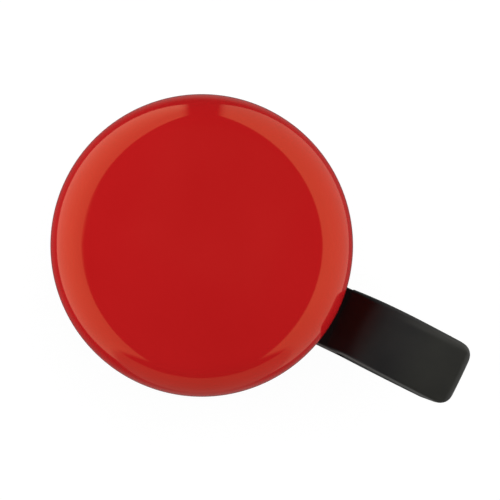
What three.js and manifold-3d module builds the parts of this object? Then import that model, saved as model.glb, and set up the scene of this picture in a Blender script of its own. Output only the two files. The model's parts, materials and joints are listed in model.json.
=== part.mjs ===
// A bicycle bell: a red steel dome on a centre post, rung by a thumb lever, and held on a handlebar by a
// two-part clamp. Pushing the lever turns an idler gear, which spins a rotor with two loose washers that
// strike studs inside the dome. A torsion spring brings the lever back, and the bell rings again.
//
// Millimetres. The origin is on the handlebar's axis, in the middle of the clamp. +X runs along the
// handlebar, +Y points forward and +Z up the dome's axis.

import * as THREE from "three";
import { mergeVertices } from "three/addons/utils/BufferGeometryUtils.js";
import Module from "manifold-3d";

const wasm = await Module();
wasm.setup();

// ---------------------------------------------------------------- driving dimensions

const GAP = 0.3; // between parts that move past each other, or curved faces that rest on each other
const RUNNING = 0.15; // radial clearance of a shaft in its bore
const BORE_FIT = 0.2; // radial clearance of a screw or a rivet in its hole

// handlebar clamp
const BAR_RADIUS = 11.1;
const LINER_THICKNESS = 1.0;
const SADDLE_WIDTH = 16;
const SADDLE_WALL = 2.4;
const SADDLE_CROWN = 3.0; // from the saddle's bore up to its flat seat
const SADDLE_SEAT_WIDTH = 15;
const EAR_HEIGHT = 4.2;
const EAR_CORNER_RADIUS = 6;
const STRAP_WIDTH = 12.4;
const STRAP_THICKNESS = 1.5;
const STRAP_SETBACK = 0.4; // of the strap's ends from the saddle's
const CLAMP_OPENING = 2.2; // between the saddle's ears and the strap's
const SCREW_RADIUS = 2.0;
const SCREW_CHAMFER = 0.4;
const SCREW_HEAD_RADIUS = 3.7;
const SCREW_HEAD_HEIGHT = 2.4;
const SCREW_HEAD_ROUND = 1.2;
const SCREW_RECESS_WIDTH = 0.9;
const SCREW_RECESS_LENGTH = 4.6;
const SCREW_RECESS_DEPTH = 1.3;
const SCREW_PROUD = 3.4; // how far the screw stands past its nut
const SCREW_WASHER_RADIUS = 4.0;
const SCREW_WASHER_THICKNESS = 0.8;
const NUT_WIDTH = 7.0;
const NUT_THICKNESS = 2.4;
const NUT_WALL = 1.9; // plastic left round the nut's pocket

// dome
const DOME_RADIUS = 27.5;
const DOME_HEIGHT = 21;
const DOME_THICKNESS = 1.0;
const DOME_CROWN_RADIUS = 70;
const DOME_SHOULDER_RADIUS = 9;
const DOME_RIM_CHAMFER = 0.3;
const DOME_RIM_CLEARANCE = 0.45; // over the lever's arm
const STUD_RADIUS = 2.0;
const STUD_TIP_RADIUS = 1.6;
const STUD_DEPTH = 1.3; // how far a strike stud stands into the dome
const STUD_COUNT = 2;
const BOSS_RADIUS = 4.2;
const BOSS_FLANGE_RADIUS = 7.5;
const BOSS_FLANGE_THICKNESS = 1.2;
const BOSS_CAP = 2.5; // of the boss over the end of its thread

// base plate
const BASE_THICKNESS = 1.5;
const BASE_EDGE_WIDTH = 1.0; // from the wall out to the plate's edge
const BASE_EDGE_ROUND = 0.5;
const BASE_LIP_THICKNESS = 1.3;
const BASE_LIP_HEIGHT = 1.3;
const BASE_WALL_CLEARANCE = 1.9; // inside the dome
const BASE_WALL_THICKNESS = 1.2;
const BASE_WALL_HEIGHT = 4.7;
const SLOT_CLEARANCE = 0.6; // at each side of the lever, in the wall

// thumb lever
const LEVER_AZIMUTH = THREE.MathUtils.degToRad(-25.8); // from +X, seen from above
const LEVER_PIVOT = new THREE.Vector2(12, 4); // along the lever's line, and across it
const LEVER_TRAVEL = THREE.MathUtils.degToRad(34);
const LEVER_OFFSET = -1.1; // of the lever's middle from a line through the dome's centre
const LEVER_THICKNESS = 2.2;
const LEVER_HUB_RADIUS = 4.3;
const LEVER_BOSS_RADIUS = 2.6;
const ARM_WIDTH = 11.6;
const ARM_INTO_PAD = 4;
const PAD_WIDTH = 12.6;
const PAD_LENGTH = 25;
const PAD_CLEARANCE = 1.1; // from the dome to the pad
const PAD_CORNER_RADIUS = 1.8;
const PAD_STEP = 0.5; // of the pad's near edge over the arm
const PAD_CLIMB = 4; // from there up to its level part
const PAD_CLIMB_SHARE = 0.24; // of the pad's length in which it climbs most of the way
const PAD_DROOP = 1.1; // of the far end
const PAD_SKIRT = 2.4; // of the pad's skirt below the arm's lower face
const PAD_NEAR_BEVEL = 2.6;
const PAD_FAR_BEVEL = 2.0;
const PAD_WALL = 1.6;
const PAD_ROOF = 2.0; // least thickness over the pockets
const PAD_RIB = 1.2;
const PIVOT_RADIUS = 1.5;
const PIVOT_HEAD_RADIUS = 3.2;
const PIVOT_HEAD_HEIGHT = 0.7;
const PIVOT_FOOT_RADIUS = 2.7;
const PIVOT_WASHER_RADIUS = 3.7;
const PIVOT_WASHER_THICKNESS = 0.4;
const RIVET_FOOT_HEIGHT = 0.7;
const RIVET_CHAMFER = 0.3;

// return spring
const SPRING_WIRE = 0.6;
const SPRING_PITCH = 0.8;
const SPRING_TURNS = 3;
const SPRING_CLEARANCE = 0.35; // round the lever's boss
const SPRING_REST = 0.1; // between the wire and what it rests on
const SPRING_LEG_END = 1.5; // of each leg past its peg
const SPRING_STEP = Math.PI / 9; // of a turn of the coil, between two sections
const PEG_RADIUS = 1.0;
const BASE_PEG_REACH = 8.0; // from the lever's pivot
const BASE_PEG_ANGLE = THREE.MathUtils.degToRad(250);
const BASE_PEG_RISE = 1.6; // over the lever's upper face
const LEVER_PEG_REACH = 6.5;
const LEVER_PEG_ANGLE = THREE.MathUtils.degToRad(-50);

// gears
const MODULE = 0.7;
const PRESSURE_ANGLE = THREE.MathUtils.degToRad(24);
const TOOTH_SHARE = 0.43; // of the pitch, at the pitch circle; the rest is the space and its backlash
const ADDENDUM = 0.8; // in modules
const DEDENDUM = 1.1;
const SECTOR_TEETH = 36; // of a full circle: the lever carries only those that it needs
const IDLER_PINION_TEETH = 8;
const IDLER_WHEEL_TEETH = 26;
const ROTOR_PINION_TEETH = 12;
const IDLER_WHEEL_CLEARANCE = 0.45; // over the lever's sector
const IDLER_WHEEL_THICKNESS = 1.6;
const IDLER_AXLE_RADIUS = 1.2;
const IDLER_AXLE_FOOT_RADIUS = 2.3;
const IDLER_AXLE_PROUD = 0.4;
const CLIP_RADIUS = 2.7;
const CLIP_THICKNESS = 0.5;
const CLIP_FIT = 0.1;

// rotor
const ROTOR_AZIMUTH = THREE.MathUtils.degToRad(118); // at rest, from the lever's line
const ROTOR_ARM_THICKNESS = 1.0;
const ROTOR_ARM_WIDTH = 8;
const ROTOR_ARM_WAIST_RADIUS = 6.4; // round the hub
const ROTOR_HUB_RADIUS = 4.6;
const ROTOR_SPIGOT_RADIUS = 3.0;
const PRESS_FIT = 0.1; // left round a pin or spigot that is pressed in
const STRIKER_RADIUS = 5.5;
const STRIKER_THICKNESS = 1.9;
const STRIKER_TRAVEL = 1.2; // each way from the middle, along the arm
const STRIKER_PIN_RADIUS = 1.6;
const STRIKER_PIN_OVERLAP = 1.0; // of the pin's head over the striker's hole
const STRIKER_PIN_HEAD_HEIGHT = 0.8;
const STRIKER_PIN_CHAMFER = 0.5;

// centre post
const POST_RADIUS = 2.0;
const POST_CHAMFER = 0.5;
const POST_SHOULDER_RADIUS = 3.2;
const POST_HEAD_RADIUS = 3.4;
const POST_HEAD_EDGE = 0.4;
const POST_HEAD_RECESS = 0.1; // of the head inside the saddle's bore
const POST_TIP_CLEARANCE = 1.0; // to the end of the boss's thread
const POST_NUT_WIDTH = 7.0;
const POST_NUT_THICKNESS = 2.2;
const POST_WASHER_RADIUS = 4.2;
const ROTOR_WASHER_THICKNESS = 0.5;
const SEAT_WASHER_THICKNESS = 0.8;

// ---------------------------------------------------------------- places that follow from them

const LINER_RADIUS = BAR_RADIUS + LINER_THICKNESS;
const CLAMP_BORE = LINER_RADIUS + GAP;
const SEAT_Z = CLAMP_BORE + SADDLE_CROWN; // the saddle's flat top, under the base plate
const EAR_Z = CLAMP_OPENING / 2; // the saddle's parting face
const EAR_TOP_Z = EAR_Z + EAR_HEIGHT;
const NUT_Z = EAR_TOP_Z - NUT_THICKNESS - GAP;
const SCREW_Y = CLAMP_BORE + NUT_WALL + NUT_WIDTH / 2;
const EAR_REACH = SCREW_Y + NUT_WIDTH / 2 + NUT_WALL;
const STRAP_EAR_Z = -EAR_Z - STRAP_THICKNESS; // the strap's lower face, where the washers lie

const FLOOR_Z = SEAT_Z + BASE_THICKNESS;
const LEVER_Z = FLOOR_Z + GAP;
const LEVER_TOP_Z = LEVER_Z + LEVER_THICKNESS;
const DOME_RIM_Z = LEVER_TOP_Z + DOME_RIM_CLEARANCE;
const DOME_TOP_Z = DOME_RIM_Z + DOME_HEIGHT;
const DOME_BORE = DOME_RADIUS - DOME_THICKNESS;
const IDLER_WHEEL_Z = LEVER_TOP_Z + IDLER_WHEEL_CLEARANCE;
const IDLER_TOP_Z = IDLER_WHEEL_Z + IDLER_WHEEL_THICKNESS;
const SPRING_MEAN_RADIUS = LEVER_BOSS_RADIUS + SPRING_CLEARANCE + SPRING_WIRE / 2;
const LEVER_BOSS_Z = LEVER_TOP_Z + SPRING_TURNS * SPRING_PITCH + SPRING_WIRE + RUNNING;
const PIVOT_WASHER_Z = LEVER_BOSS_Z + RUNNING;
const PIVOT_HEAD_Z = PIVOT_WASHER_Z + PIVOT_WASHER_THICKNESS;
const ROTOR_HUB_Z = IDLER_WHEEL_Z - RUNNING;
const ROTOR_ARM_Z = PIVOT_HEAD_Z + PIVOT_HEAD_HEIGHT + GAP;
const STRIKER_Z = ROTOR_ARM_Z + ROTOR_ARM_THICKNESS;
const STRIKER_PIN_HEAD_Z = STRIKER_Z + STRIKER_THICKNESS + GAP;
const SPIGOT_TOP_Z = STRIKER_Z + GAP;
const ROTOR_WASHER_Z = SPIGOT_TOP_Z + RUNNING;
const POST_NUT_Z = ROTOR_WASHER_Z + ROTOR_WASHER_THICKNESS;
const SEAT_WASHER_Z = POST_NUT_Z + POST_NUT_THICKNESS;
const BOSS_Z = SEAT_WASHER_Z + SEAT_WASHER_THICKNESS;
const BOSS_BORE_END_Z = DOME_TOP_Z - DOME_THICKNESS - GAP - BOSS_CAP;
const POST_TOP_Z = BOSS_BORE_END_Z - POST_TIP_CLEARANCE;

const BASE_WALL_RADIUS = DOME_BORE - BASE_WALL_CLEARANCE;
const BASE_RADIUS = BASE_WALL_RADIUS + BASE_EDGE_WIDTH;
const PAD_START = DOME_RADIUS + PAD_CLEARANCE;
const PAD_END = PAD_START + PAD_LENGTH;
const STRIKER_HOLE_RADIUS = STRIKER_PIN_RADIUS + STRIKER_TRAVEL + PRESS_FIT;
const STRIKER_PIN_HEAD_RADIUS = STRIKER_HOLE_RADIUS + STRIKER_PIN_OVERLAP;
const STRIKER_REACH = DOME_BORE - STUD_DEPTH - STRIKER_RADIUS - STRIKER_TRAVEL - GAP;

const pitchRadius = (teeth) => (teeth * MODULE) / 2;
const IDLER_TO_ROTOR = pitchRadius(IDLER_WHEEL_TEETH) + pitchRadius(ROTOR_PINION_TEETH);
const IDLER_TO_LEVER = pitchRadius(SECTOR_TEETH) + pitchRadius(IDLER_PINION_TEETH);

// The idler's centre, where both of its meshes have their right centre distances.
const IDLER_AT = (() => {
  const reach = LEVER_PIVOT.length();
  const cosine = (reach ** 2 + IDLER_TO_ROTOR ** 2 - IDLER_TO_LEVER ** 2) / (2 * reach * IDLER_TO_ROTOR);
  const angle = LEVER_PIVOT.angle() + Math.acos(cosine);
  return new THREE.Vector2(Math.cos(angle), Math.sin(angle)).multiplyScalar(IDLER_TO_ROTOR);
})();

// ---------------------------------------------------------------- solids

const polar = (radius, angle) => new THREE.Vector2(radius * Math.cos(angle), radius * Math.sin(angle));

// A closed three.js geometry as a solid that can be joined and cut.
function solidOf(geometry) {
  const bare = geometry.index ? geometry.toNonIndexed() : geometry.clone();
  bare.deleteAttribute("normal");
  bare.deleteAttribute("uv");
  const merged = mergeVertices(bare, 1e-4);
  return new wasm.Manifold(
    new wasm.Mesh({
      numProp: 3,
      vertProperties: merged.attributes.position.array,
      triVerts: new Uint32Array(merged.index.array),
    }),
  );
}

function geometryOf(solid) {
  const { numProp, numVert, vertProperties, triVerts } = solid.getMesh();
  const position = new Float32Array(numVert * 3);
  for (let i = 0; i < numVert; i++) {
    position.set(vertProperties.subarray(i * numProp, i * numProp + 3), i * 3);
  }
  const geometry = new THREE.BufferGeometry();
  geometry.setAttribute("position", new THREE.BufferAttribute(position, 3));
  geometry.setIndex(new THREE.BufferAttribute(triVerts, 1));
  geometry.computeVertexNormals();
  return geometry;
}

const join = (...solids) => solids.reduce((whole, next) => whole.add(next));
const cut = (solid, ...tools) => tools.reduce((left, tool) => left.subtract(tool), solid);

// A path in (radius, z) turned round the Z axis. It starts and ends on the axis, or closes on itself.
function turned(profile, segments = 32) {
  const points = Array.isArray(profile) ? profile.map(([r, z]) => new THREE.Vector2(r, z)) : profile;
  const onAxis = points[0].x === 0 && points.at(-1).x === 0;
  if (!onAxis) points.push(points[0].clone());
  if (THREE.ShapeUtils.area(points) < 0) points.reverse();
  return solidOf(new THREE.LatheGeometry(points, segments).rotateX(Math.PI / 2));
}

// An outline in X and Y, as thick as from one height to the other.
function slab(shape, bottom, top, curveSegments = 12) {
  const options = { depth: top - bottom, bevelEnabled: false, curveSegments };
  const geometry = new THREE.ExtrudeGeometry(shape, options);
  return solidOf(geometry.translate(0, 0, bottom));
}

// An outline in Y and Z, centred on the plane X = 0.
function barStock(shape, width, curveSegments = 12) {
  const geometry = new THREE.ExtrudeGeometry(shape, { depth: width, bevelEnabled: false, curveSegments });
  geometry.translate(0, 0, -width / 2);
  return solidOf(geometry.rotateX(Math.PI / 2).rotateZ(Math.PI / 2));
}

function disc(radius, bottom, top, at = new THREE.Vector2(), segments = 24) {
  const geometry = new THREE.CylinderGeometry(radius, radius, top - bottom, segments).rotateX(Math.PI / 2);
  return solidOf(geometry.translate(at.x, at.y, (bottom + top) / 2));
}

function block(size, centre) {
  return solidOf(new THREE.BoxGeometry(...size).translate(...centre));
}

function roundedRectangle(width, length, radius) {
  const [x, y] = [width / 2, length / 2];
  return new THREE.Shape()
    .moveTo(x, radius - y)
    .lineTo(x, y - radius)
    .absarc(x - radius, y - radius, radius, 0, Math.PI / 2)
    .absarc(radius - x, y - radius, radius, Math.PI / 2, Math.PI)
    .absarc(radius - x, radius - y, radius, Math.PI, 1.5 * Math.PI)
    .absarc(x - radius, radius - y, radius, 1.5 * Math.PI, 2 * Math.PI);
}

function regularPolygon(sides, acrossFlats) {
  const corner = acrossFlats / 2 / Math.cos(Math.PI / sides);
  const corners = Array.from({ length: sides }, (_, i) => polar(corner, (2 * Math.PI * (i + 0.5)) / sides));
  return new THREE.Shape(corners);
}

// ---------------------------------------------------------------- gear teeth

const involute = (angle) => Math.tan(angle) - angle;

// One tooth's outline round angle 0, from its clockwise root to its other root.
function toothPoints(teeth) {
  const pitch = pitchRadius(teeth);
  const base = pitch * Math.cos(PRESSURE_ANGLE);
  const root = pitch - DEDENDUM * MODULE;
  const tip = pitch + ADDENDUM * MODULE;
  const half = (Math.PI * TOOTH_SHARE) / teeth;
  const halfAt = (radius) => {
    const slope = Math.acos(Math.min(1, base / Math.max(base, radius)));
    return half + involute(PRESSURE_ANGLE) - involute(slope);
  };
  const radii = [root, Math.max(root + 0.01, Math.min(base, pitch)), pitch, (pitch + tip) / 2, tip];
  const rising = radii.map((radius) => polar(radius, -halfAt(radius)));
  const falling = radii.toReversed().map((radius) => polar(radius, halfAt(radius)));
  return [...rising, ...falling];
}

// The outline of some neighbouring teeth, counted from the one at angle 0, plus a turn of the whole.
function toothedArc(teeth, first, count, turn) {
  const origin = new THREE.Vector2();
  const outline = [];
  for (let i = first; i < first + count; i++) {
    const angle = turn + (2 * Math.PI * i) / teeth;
    outline.push(...toothPoints(teeth).map((point) => point.rotateAround(origin, angle)));
  }
  return outline;
}

function gear(teeth, turn, bottom, top) {
  return slab(new THREE.Shape(toothedArc(teeth, 0, teeth, turn)), bottom, top);
}

// How far each gear is turned, so that at rest a tooth of one stands in a space of the other.
const LEVER_TO_IDLER_ANGLE = IDLER_AT.clone().sub(LEVER_PIVOT).angle();
const IDLER_PINION_TURN = LEVER_TO_IDLER_ANGLE + Math.PI + Math.PI / IDLER_PINION_TEETH;
const ROTOR_PINION_TURN = IDLER_AT.angle() + Math.PI / ROTOR_PINION_TEETH;
const IDLER_WHEEL_TURN = IDLER_AT.angle() + Math.PI;

// ---------------------------------------------------------------- materials

function finish(color, roughness, metalness) {
  return new THREE.MeshStandardMaterial({ color, roughness, metalness });
}

const MATERIAL = {
  redLacquer: finish(0xb41a1c, 0.12, 0.0),
  blackPlastic: finish(0x1c1c1b, 0.42, 0.0),
  zincSteel: finish(0xb4b6b8, 0.34, 1.0),
  brightSteel: finish(0xc4c5c6, 0.24, 1.0),
  springSteel: finish(0x8f9090, 0.28, 1.0),
  whiteNylon: finish(0xe4e1d6, 0.46, 0.0),
  blackRubber: finish(0x161616, 0.8, 0.0),
  redFibre: finish(0x7d3a2c, 0.85, 0.0),
};

const named = (name, material, solid) => {
  const mesh = new THREE.Mesh(geometryOf(solid), material);
  mesh.name = name;
  return mesh;
};

// ---------------------------------------------------------------- handlebar clamp

function clampSaddle() {
  const outer = CLAMP_BORE + SADDLE_WALL;
  const half = SADDLE_SEAT_WIDTH / 2;
  const bend = (height, radius) => Math.asin(height / radius);
  const side = Math.acos(half / outer);
  const profile = new THREE.Shape()
    .moveTo(EAR_REACH, EAR_Z)
    .lineTo(EAR_REACH, EAR_TOP_Z)
    .absarc(0, 0, outer, bend(EAR_TOP_Z, outer), side, false)
    .lineTo(half, SEAT_Z)
    .lineTo(-half, SEAT_Z)
    .absarc(0, 0, outer, Math.PI - side, Math.PI - bend(EAR_TOP_Z, outer), false)
    .lineTo(-EAR_REACH, EAR_TOP_Z)
    .lineTo(-EAR_REACH, EAR_Z)
    .absarc(0, 0, CLAMP_BORE, Math.PI - bend(EAR_Z, CLAMP_BORE), bend(EAR_Z, CLAMP_BORE), true);
  const plan = roundedRectangle(SADDLE_WIDTH, 2 * EAR_REACH, EAR_CORNER_RADIUS);
  const body = barStock(profile, SADDLE_WIDTH).intersect(slab(plan, 0, SEAT_Z + 1));
  const pocket = NUT_WIDTH + GAP;
  const earCuts = [1, -1].flatMap((side) => [
    disc(SCREW_RADIUS + BORE_FIT, 0, NUT_Z + 1, new THREE.Vector2(0, side * SCREW_Y)),
    block([pocket, pocket, EAR_HEIGHT], [0, side * SCREW_Y, NUT_Z + EAR_HEIGHT / 2]),
  ]);
  const sinkRadius = POST_HEAD_RADIUS + GAP;
  const holeRadius = POST_RADIUS + BORE_FIT;
  const sinkZ = CLAMP_BORE + POST_HEAD_RECESS + POST_HEAD_EDGE + BORE_FIT;
  const postHole = turned([
    [0, CLAMP_BORE - 1],
    [sinkRadius, CLAMP_BORE - 1],
    [sinkRadius, sinkZ],
    [holeRadius, sinkZ + sinkRadius - holeRadius],
    [holeRadius, SEAT_Z + 1],
    [0, SEAT_Z + 1],
  ]);
  return named("clamp_saddle", MATERIAL.blackPlastic, cut(body, ...earCuts, postHole));
}

function clampStrap() {
  const outer = CLAMP_BORE + STRAP_THICKNESS;
  const start = -Math.asin(EAR_Z / CLAMP_BORE);
  const bend = -Math.asin(-STRAP_EAR_Z / outer);
  const reach = EAR_REACH - STRAP_SETBACK;
  const profile = new THREE.Shape()
    .moveTo(reach, STRAP_EAR_Z)
    .lineTo(reach, -EAR_Z)
    .absarc(0, 0, CLAMP_BORE, start, Math.PI - start, true)
    .lineTo(-reach, -EAR_Z)
    .lineTo(-reach, STRAP_EAR_Z)
    .absarc(0, 0, outer, Math.PI - bend, bend, false);
  const plan = roundedRectangle(STRAP_WIDTH, 2 * reach, EAR_CORNER_RADIUS - STRAP_SETBACK);
  const body = barStock(profile, STRAP_WIDTH).intersect(slab(plan, -outer - 1, 0));
  const holes = [1, -1].map((side) =>
    disc(SCREW_RADIUS + BORE_FIT, STRAP_EAR_Z - 1, 0, new THREE.Vector2(0, side * SCREW_Y)),
  );
  return named("clamp_strap", MATERIAL.zincSteel, cut(body, ...holes));
}

// Half of the rubber lining, above the bar with side 1 or under it with side -1.
function liner(name, side, width) {
  const start = Math.asin((EAR_Z + GAP) / BAR_RADIUS);
  const profile = new THREE.Shape()
    .absarc(0, 0, LINER_RADIUS, side * start, side * (Math.PI - start), side < 0)
    .absarc(0, 0, BAR_RADIUS, side * (Math.PI - start), side * start, side > 0);
  return named(name, MATERIAL.blackRubber, barStock(profile, width));
}

// A pan-head screw from below, its washer under the strap's ear, and its square nut in the saddle's ear.
function clampFastener(place, side) {
  const group = new THREE.Group();
  group.position.y = side * SCREW_Y;
  const washerZ = STRAP_EAR_Z - SCREW_WASHER_THICKNESS;
  const headZ = washerZ - SCREW_HEAD_HEIGHT;
  const tipZ = NUT_Z + NUT_THICKNESS + SCREW_PROUD;
  const screw = new THREE.Path()
    .moveTo(0, headZ)
    .lineTo(SCREW_HEAD_RADIUS - SCREW_HEAD_ROUND, headZ)
    .absarc(SCREW_HEAD_RADIUS - SCREW_HEAD_ROUND, headZ + SCREW_HEAD_ROUND, SCREW_HEAD_ROUND, -Math.PI / 2, 0)
    .lineTo(SCREW_HEAD_RADIUS, washerZ)
    .lineTo(SCREW_RADIUS, washerZ)
    .lineTo(SCREW_RADIUS, tipZ - SCREW_CHAMFER)
    .lineTo(SCREW_RADIUS - SCREW_CHAMFER, tipZ)
    .lineTo(0, tipZ);
  const recess = [
    [SCREW_RECESS_LENGTH, SCREW_RECESS_WIDTH],
    [SCREW_RECESS_WIDTH, SCREW_RECESS_LENGTH],
  ].map(([x, y]) => block([x, y, 2 * SCREW_RECESS_DEPTH], [0, 0, headZ]));
  const nut = slab(regularPolygon(4, NUT_WIDTH), NUT_Z, NUT_Z + NUT_THICKNESS);
  const nutBore = disc(SCREW_RADIUS + RUNNING, NUT_Z - 1, NUT_Z + NUT_THICKNESS + 1);
  const washer = cut(
    disc(SCREW_WASHER_RADIUS, washerZ, STRAP_EAR_Z),
    disc(SCREW_RADIUS + BORE_FIT, washerZ - 1, STRAP_EAR_Z + 1),
  );
  group.add(
    named(`clamp_screw_${place}`, MATERIAL.zincSteel, cut(turned(screw.getPoints(4), 24), ...recess)),
    named(`clamp_washer_${place}`, MATERIAL.zincSteel, washer),
    named(`clamp_nut_${place}`, MATERIAL.zincSteel, cut(nut, nutBore)),
  );
  return group;
}

function clamp() {
  const group = new THREE.Group();
  group.add(
    clampSaddle(),
    clampStrap(),
    liner("saddle_liner", 1, SADDLE_WIDTH),
    liner("strap_liner", -1, STRAP_WIDTH),
    clampFastener("front", 1),
    clampFastener("rear", -1),
  );
  return group;
}

// ---------------------------------------------------------------- base plate and post

// The part of the wall that the lever's arm sweeps, as a wedge about the dome's axis.
function leverSlot() {
  const wallRadius = BASE_WALL_RADIUS - BASE_WALL_THICKNESS / 2;
  const restEdge = Math.asin((LEVER_OFFSET - ARM_WIDTH / 2) / wallRadius);
  const across = LEVER_OFFSET + ARM_WIDTH / 2 - LEVER_PIVOT.y;
  const direction = polar(1, LEVER_TRAVEL);
  const foot = LEVER_PIVOT.clone().addScaledVector(polar(1, LEVER_TRAVEL + Math.PI / 2), across);
  const along = foot.dot(direction);
  const reach = Math.sqrt(along ** 2 + wallRadius ** 2 - foot.lengthSq()) - along;
  const pushedEdge = foot.addScaledVector(direction, reach).angle();
  const margin = SLOT_CLEARANCE / wallRadius;
  const wedge = new THREE.Shape()
    .moveTo(0, 0)
    .lineTo(BASE_RADIUS, BASE_RADIUS * Math.tan(restEdge - margin))
    .absarc(0, 0, 2 * BASE_RADIUS, restEdge - margin, pushedEdge + margin);
  return slab(wedge, FLOOR_Z, FLOOR_Z + BASE_WALL_HEIGHT + 1, 6);
}

function basePlate() {
  const inner = BASE_WALL_RADIUS - BASE_WALL_THICKNESS;
  const wallTop = FLOOR_Z + BASE_WALL_HEIGHT;
  const lipZ = SEAT_Z - BASE_LIP_HEIGHT;
  const pan = turned(
    [
      [0, SEAT_Z],
      [BASE_RADIUS - BASE_LIP_THICKNESS, SEAT_Z],
      [BASE_RADIUS - BASE_LIP_THICKNESS, lipZ],
      [BASE_RADIUS - BASE_EDGE_ROUND, lipZ],
      [BASE_RADIUS, lipZ + BASE_EDGE_ROUND],
      [BASE_RADIUS, FLOOR_Z - BASE_EDGE_ROUND],
      [BASE_RADIUS - BASE_EDGE_ROUND, FLOOR_Z],
      [BASE_WALL_RADIUS, FLOOR_Z],
      [BASE_WALL_RADIUS, wallTop],
      [inner, wallTop],
      [inner, FLOOR_Z],
      [0, FLOOR_Z],
    ],
    64,
  );
  const pegAt = LEVER_PIVOT.clone().add(polar(BASE_PEG_REACH, BASE_PEG_ANGLE));
  const peg = disc(PEG_RADIUS, SEAT_Z, LEVER_TOP_Z + BASE_PEG_RISE, pegAt, 16);
  const hole = (radius, at) => disc(radius + BORE_FIT, SEAT_Z - 1, FLOOR_Z + 1, at);
  const plate = cut(
    join(cut(pan, leverSlot()), peg),
    hole(POST_RADIUS, new THREE.Vector2()),
    hole(PIVOT_RADIUS, LEVER_PIVOT),
    hole(IDLER_AXLE_RADIUS, IDLER_AT),
  );
  return named("base_plate", MATERIAL.blackPlastic, plate);
}

function centrePost() {
  const headZ = CLAMP_BORE + POST_HEAD_RECESS;
  const post = turned(
    [
      [0, headZ],
      [POST_HEAD_RADIUS, headZ],
      [POST_HEAD_RADIUS, headZ + POST_HEAD_EDGE],
      [POST_RADIUS, headZ + POST_HEAD_EDGE + POST_HEAD_RADIUS - POST_RADIUS],
      [POST_RADIUS, FLOOR_Z],
      [POST_SHOULDER_RADIUS, FLOOR_Z],
      [POST_SHOULDER_RADIUS, ROTOR_HUB_Z - RUNNING],
      [POST_RADIUS, ROTOR_HUB_Z - RUNNING],
      [POST_RADIUS, POST_TOP_Z - POST_CHAMFER],
      [POST_RADIUS - POST_CHAMFER, POST_TOP_Z],
      [0, POST_TOP_Z],
    ],
    24,
  );
  return named("centre_post", MATERIAL.zincSteel, post);
}

// What keeps the rotor down on the post, and what the dome's boss is screwed down on.
function postStack() {
  const ring = (bottom, top) =>
    cut(disc(POST_WASHER_RADIUS, bottom, top), disc(POST_RADIUS + BORE_FIT, bottom - 1, top + 1));
  const nut = slab(regularPolygon(6, POST_NUT_WIDTH), POST_NUT_Z, SEAT_WASHER_Z);
  const nutBore = disc(POST_RADIUS + RUNNING, POST_NUT_Z - 1, SEAT_WASHER_Z + 1);
  return [
    named("rotor_washer", MATERIAL.zincSteel, ring(ROTOR_WASHER_Z, POST_NUT_Z)),
    named("post_nut", MATERIAL.zincSteel, cut(nut, nutBore)),
    named("seat_washer", MATERIAL.redFibre, ring(SEAT_WASHER_Z, BOSS_Z)),
  ];
}

// ---------------------------------------------------------------- dome

// The dome's outside from the pole down to its straight side, or its inside with inset as the wall.
function domeCurve(path, inset) {
  const lean = Math.asin((DOME_RADIUS - DOME_SHOULDER_RADIUS) / (DOME_CROWN_RADIUS - DOME_SHOULDER_RADIUS));
  const crownZ = DOME_TOP_Z - DOME_CROWN_RADIUS;
  const shoulderZ = crownZ + (DOME_CROWN_RADIUS - DOME_SHOULDER_RADIUS) * Math.cos(lean);
  const bend = Math.PI / 2 - lean;
  const arcs = [
    [0, crownZ, DOME_CROWN_RADIUS - inset, Math.PI / 2, bend],
    [DOME_RADIUS - DOME_SHOULDER_RADIUS, shoulderZ, DOME_SHOULDER_RADIUS - inset, bend, 0],
  ];
  if (inset) {
    arcs.reverse().forEach(([x, y, radius, from, to]) => path.absarc(x, y, radius, to, from, false));
  } else {
    arcs.forEach(([x, y, radius, from, to]) => path.absarc(x, y, radius, from, to, true));
  }
  return path;
}

function dome() {
  const profile = new THREE.Path().moveTo(0, DOME_TOP_Z);
  domeCurve(profile, 0);
  profile.lineTo(DOME_RADIUS, DOME_RIM_Z + DOME_RIM_CHAMFER);
  profile.lineTo(DOME_RADIUS - DOME_RIM_CHAMFER, DOME_RIM_Z);
  profile.lineTo(DOME_BORE, DOME_RIM_Z);
  domeCurve(profile, DOME_THICKNESS);
  const points = profile.getPoints(4);
  points[0].x = 0;
  points.at(-1).x = 0;
  const length = STUD_DEPTH + DOME_THICKNESS / 2;
  const studs = Array.from({ length: STUD_COUNT }, (_, i) => {
    const geometry = new THREE.CylinderGeometry(STUD_TIP_RADIUS, STUD_RADIUS, length, 16);
    geometry.rotateZ(Math.PI / 2);
    geometry.translate(DOME_BORE - STUD_DEPTH + length / 2, 0, STRIKER_Z + STRIKER_THICKNESS / 2);
    return solidOf(geometry.rotateZ(LEVER_AZIMUTH + (2 * Math.PI * i) / STUD_COUNT));
  });
  return named("dome", MATERIAL.redLacquer, join(turned(points, 56), ...studs));
}

// The threaded bush welded under the dome's crown.
function domeBoss() {
  const innerCrown = DOME_CROWN_RADIUS - DOME_THICKNESS - GAP;
  const crownZ = DOME_TOP_Z - DOME_CROWN_RADIUS;
  const edge = Math.asin(BOSS_FLANGE_RADIUS / innerCrown);
  const edgeZ = crownZ + innerCrown * Math.cos(edge);
  const profile = new THREE.Path()
    .moveTo(0, BOSS_BORE_END_Z)
    .lineTo(POST_RADIUS + BORE_FIT, BOSS_BORE_END_Z)
    .lineTo(POST_RADIUS + BORE_FIT, BOSS_Z)
    .lineTo(BOSS_RADIUS, BOSS_Z)
    .lineTo(BOSS_RADIUS, edgeZ - BOSS_FLANGE_THICKNESS)
    .lineTo(BOSS_FLANGE_RADIUS, edgeZ - BOSS_FLANGE_THICKNESS)
    .absarc(0, crownZ, innerCrown, Math.PI / 2 - edge, Math.PI / 2, false);
  const points = profile.getPoints(2);
  points.at(-1).x = 0;
  return named("dome_boss", MATERIAL.zincSteel, turned(points, 28));
}

// ---------------------------------------------------------------- thumb lever

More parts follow.
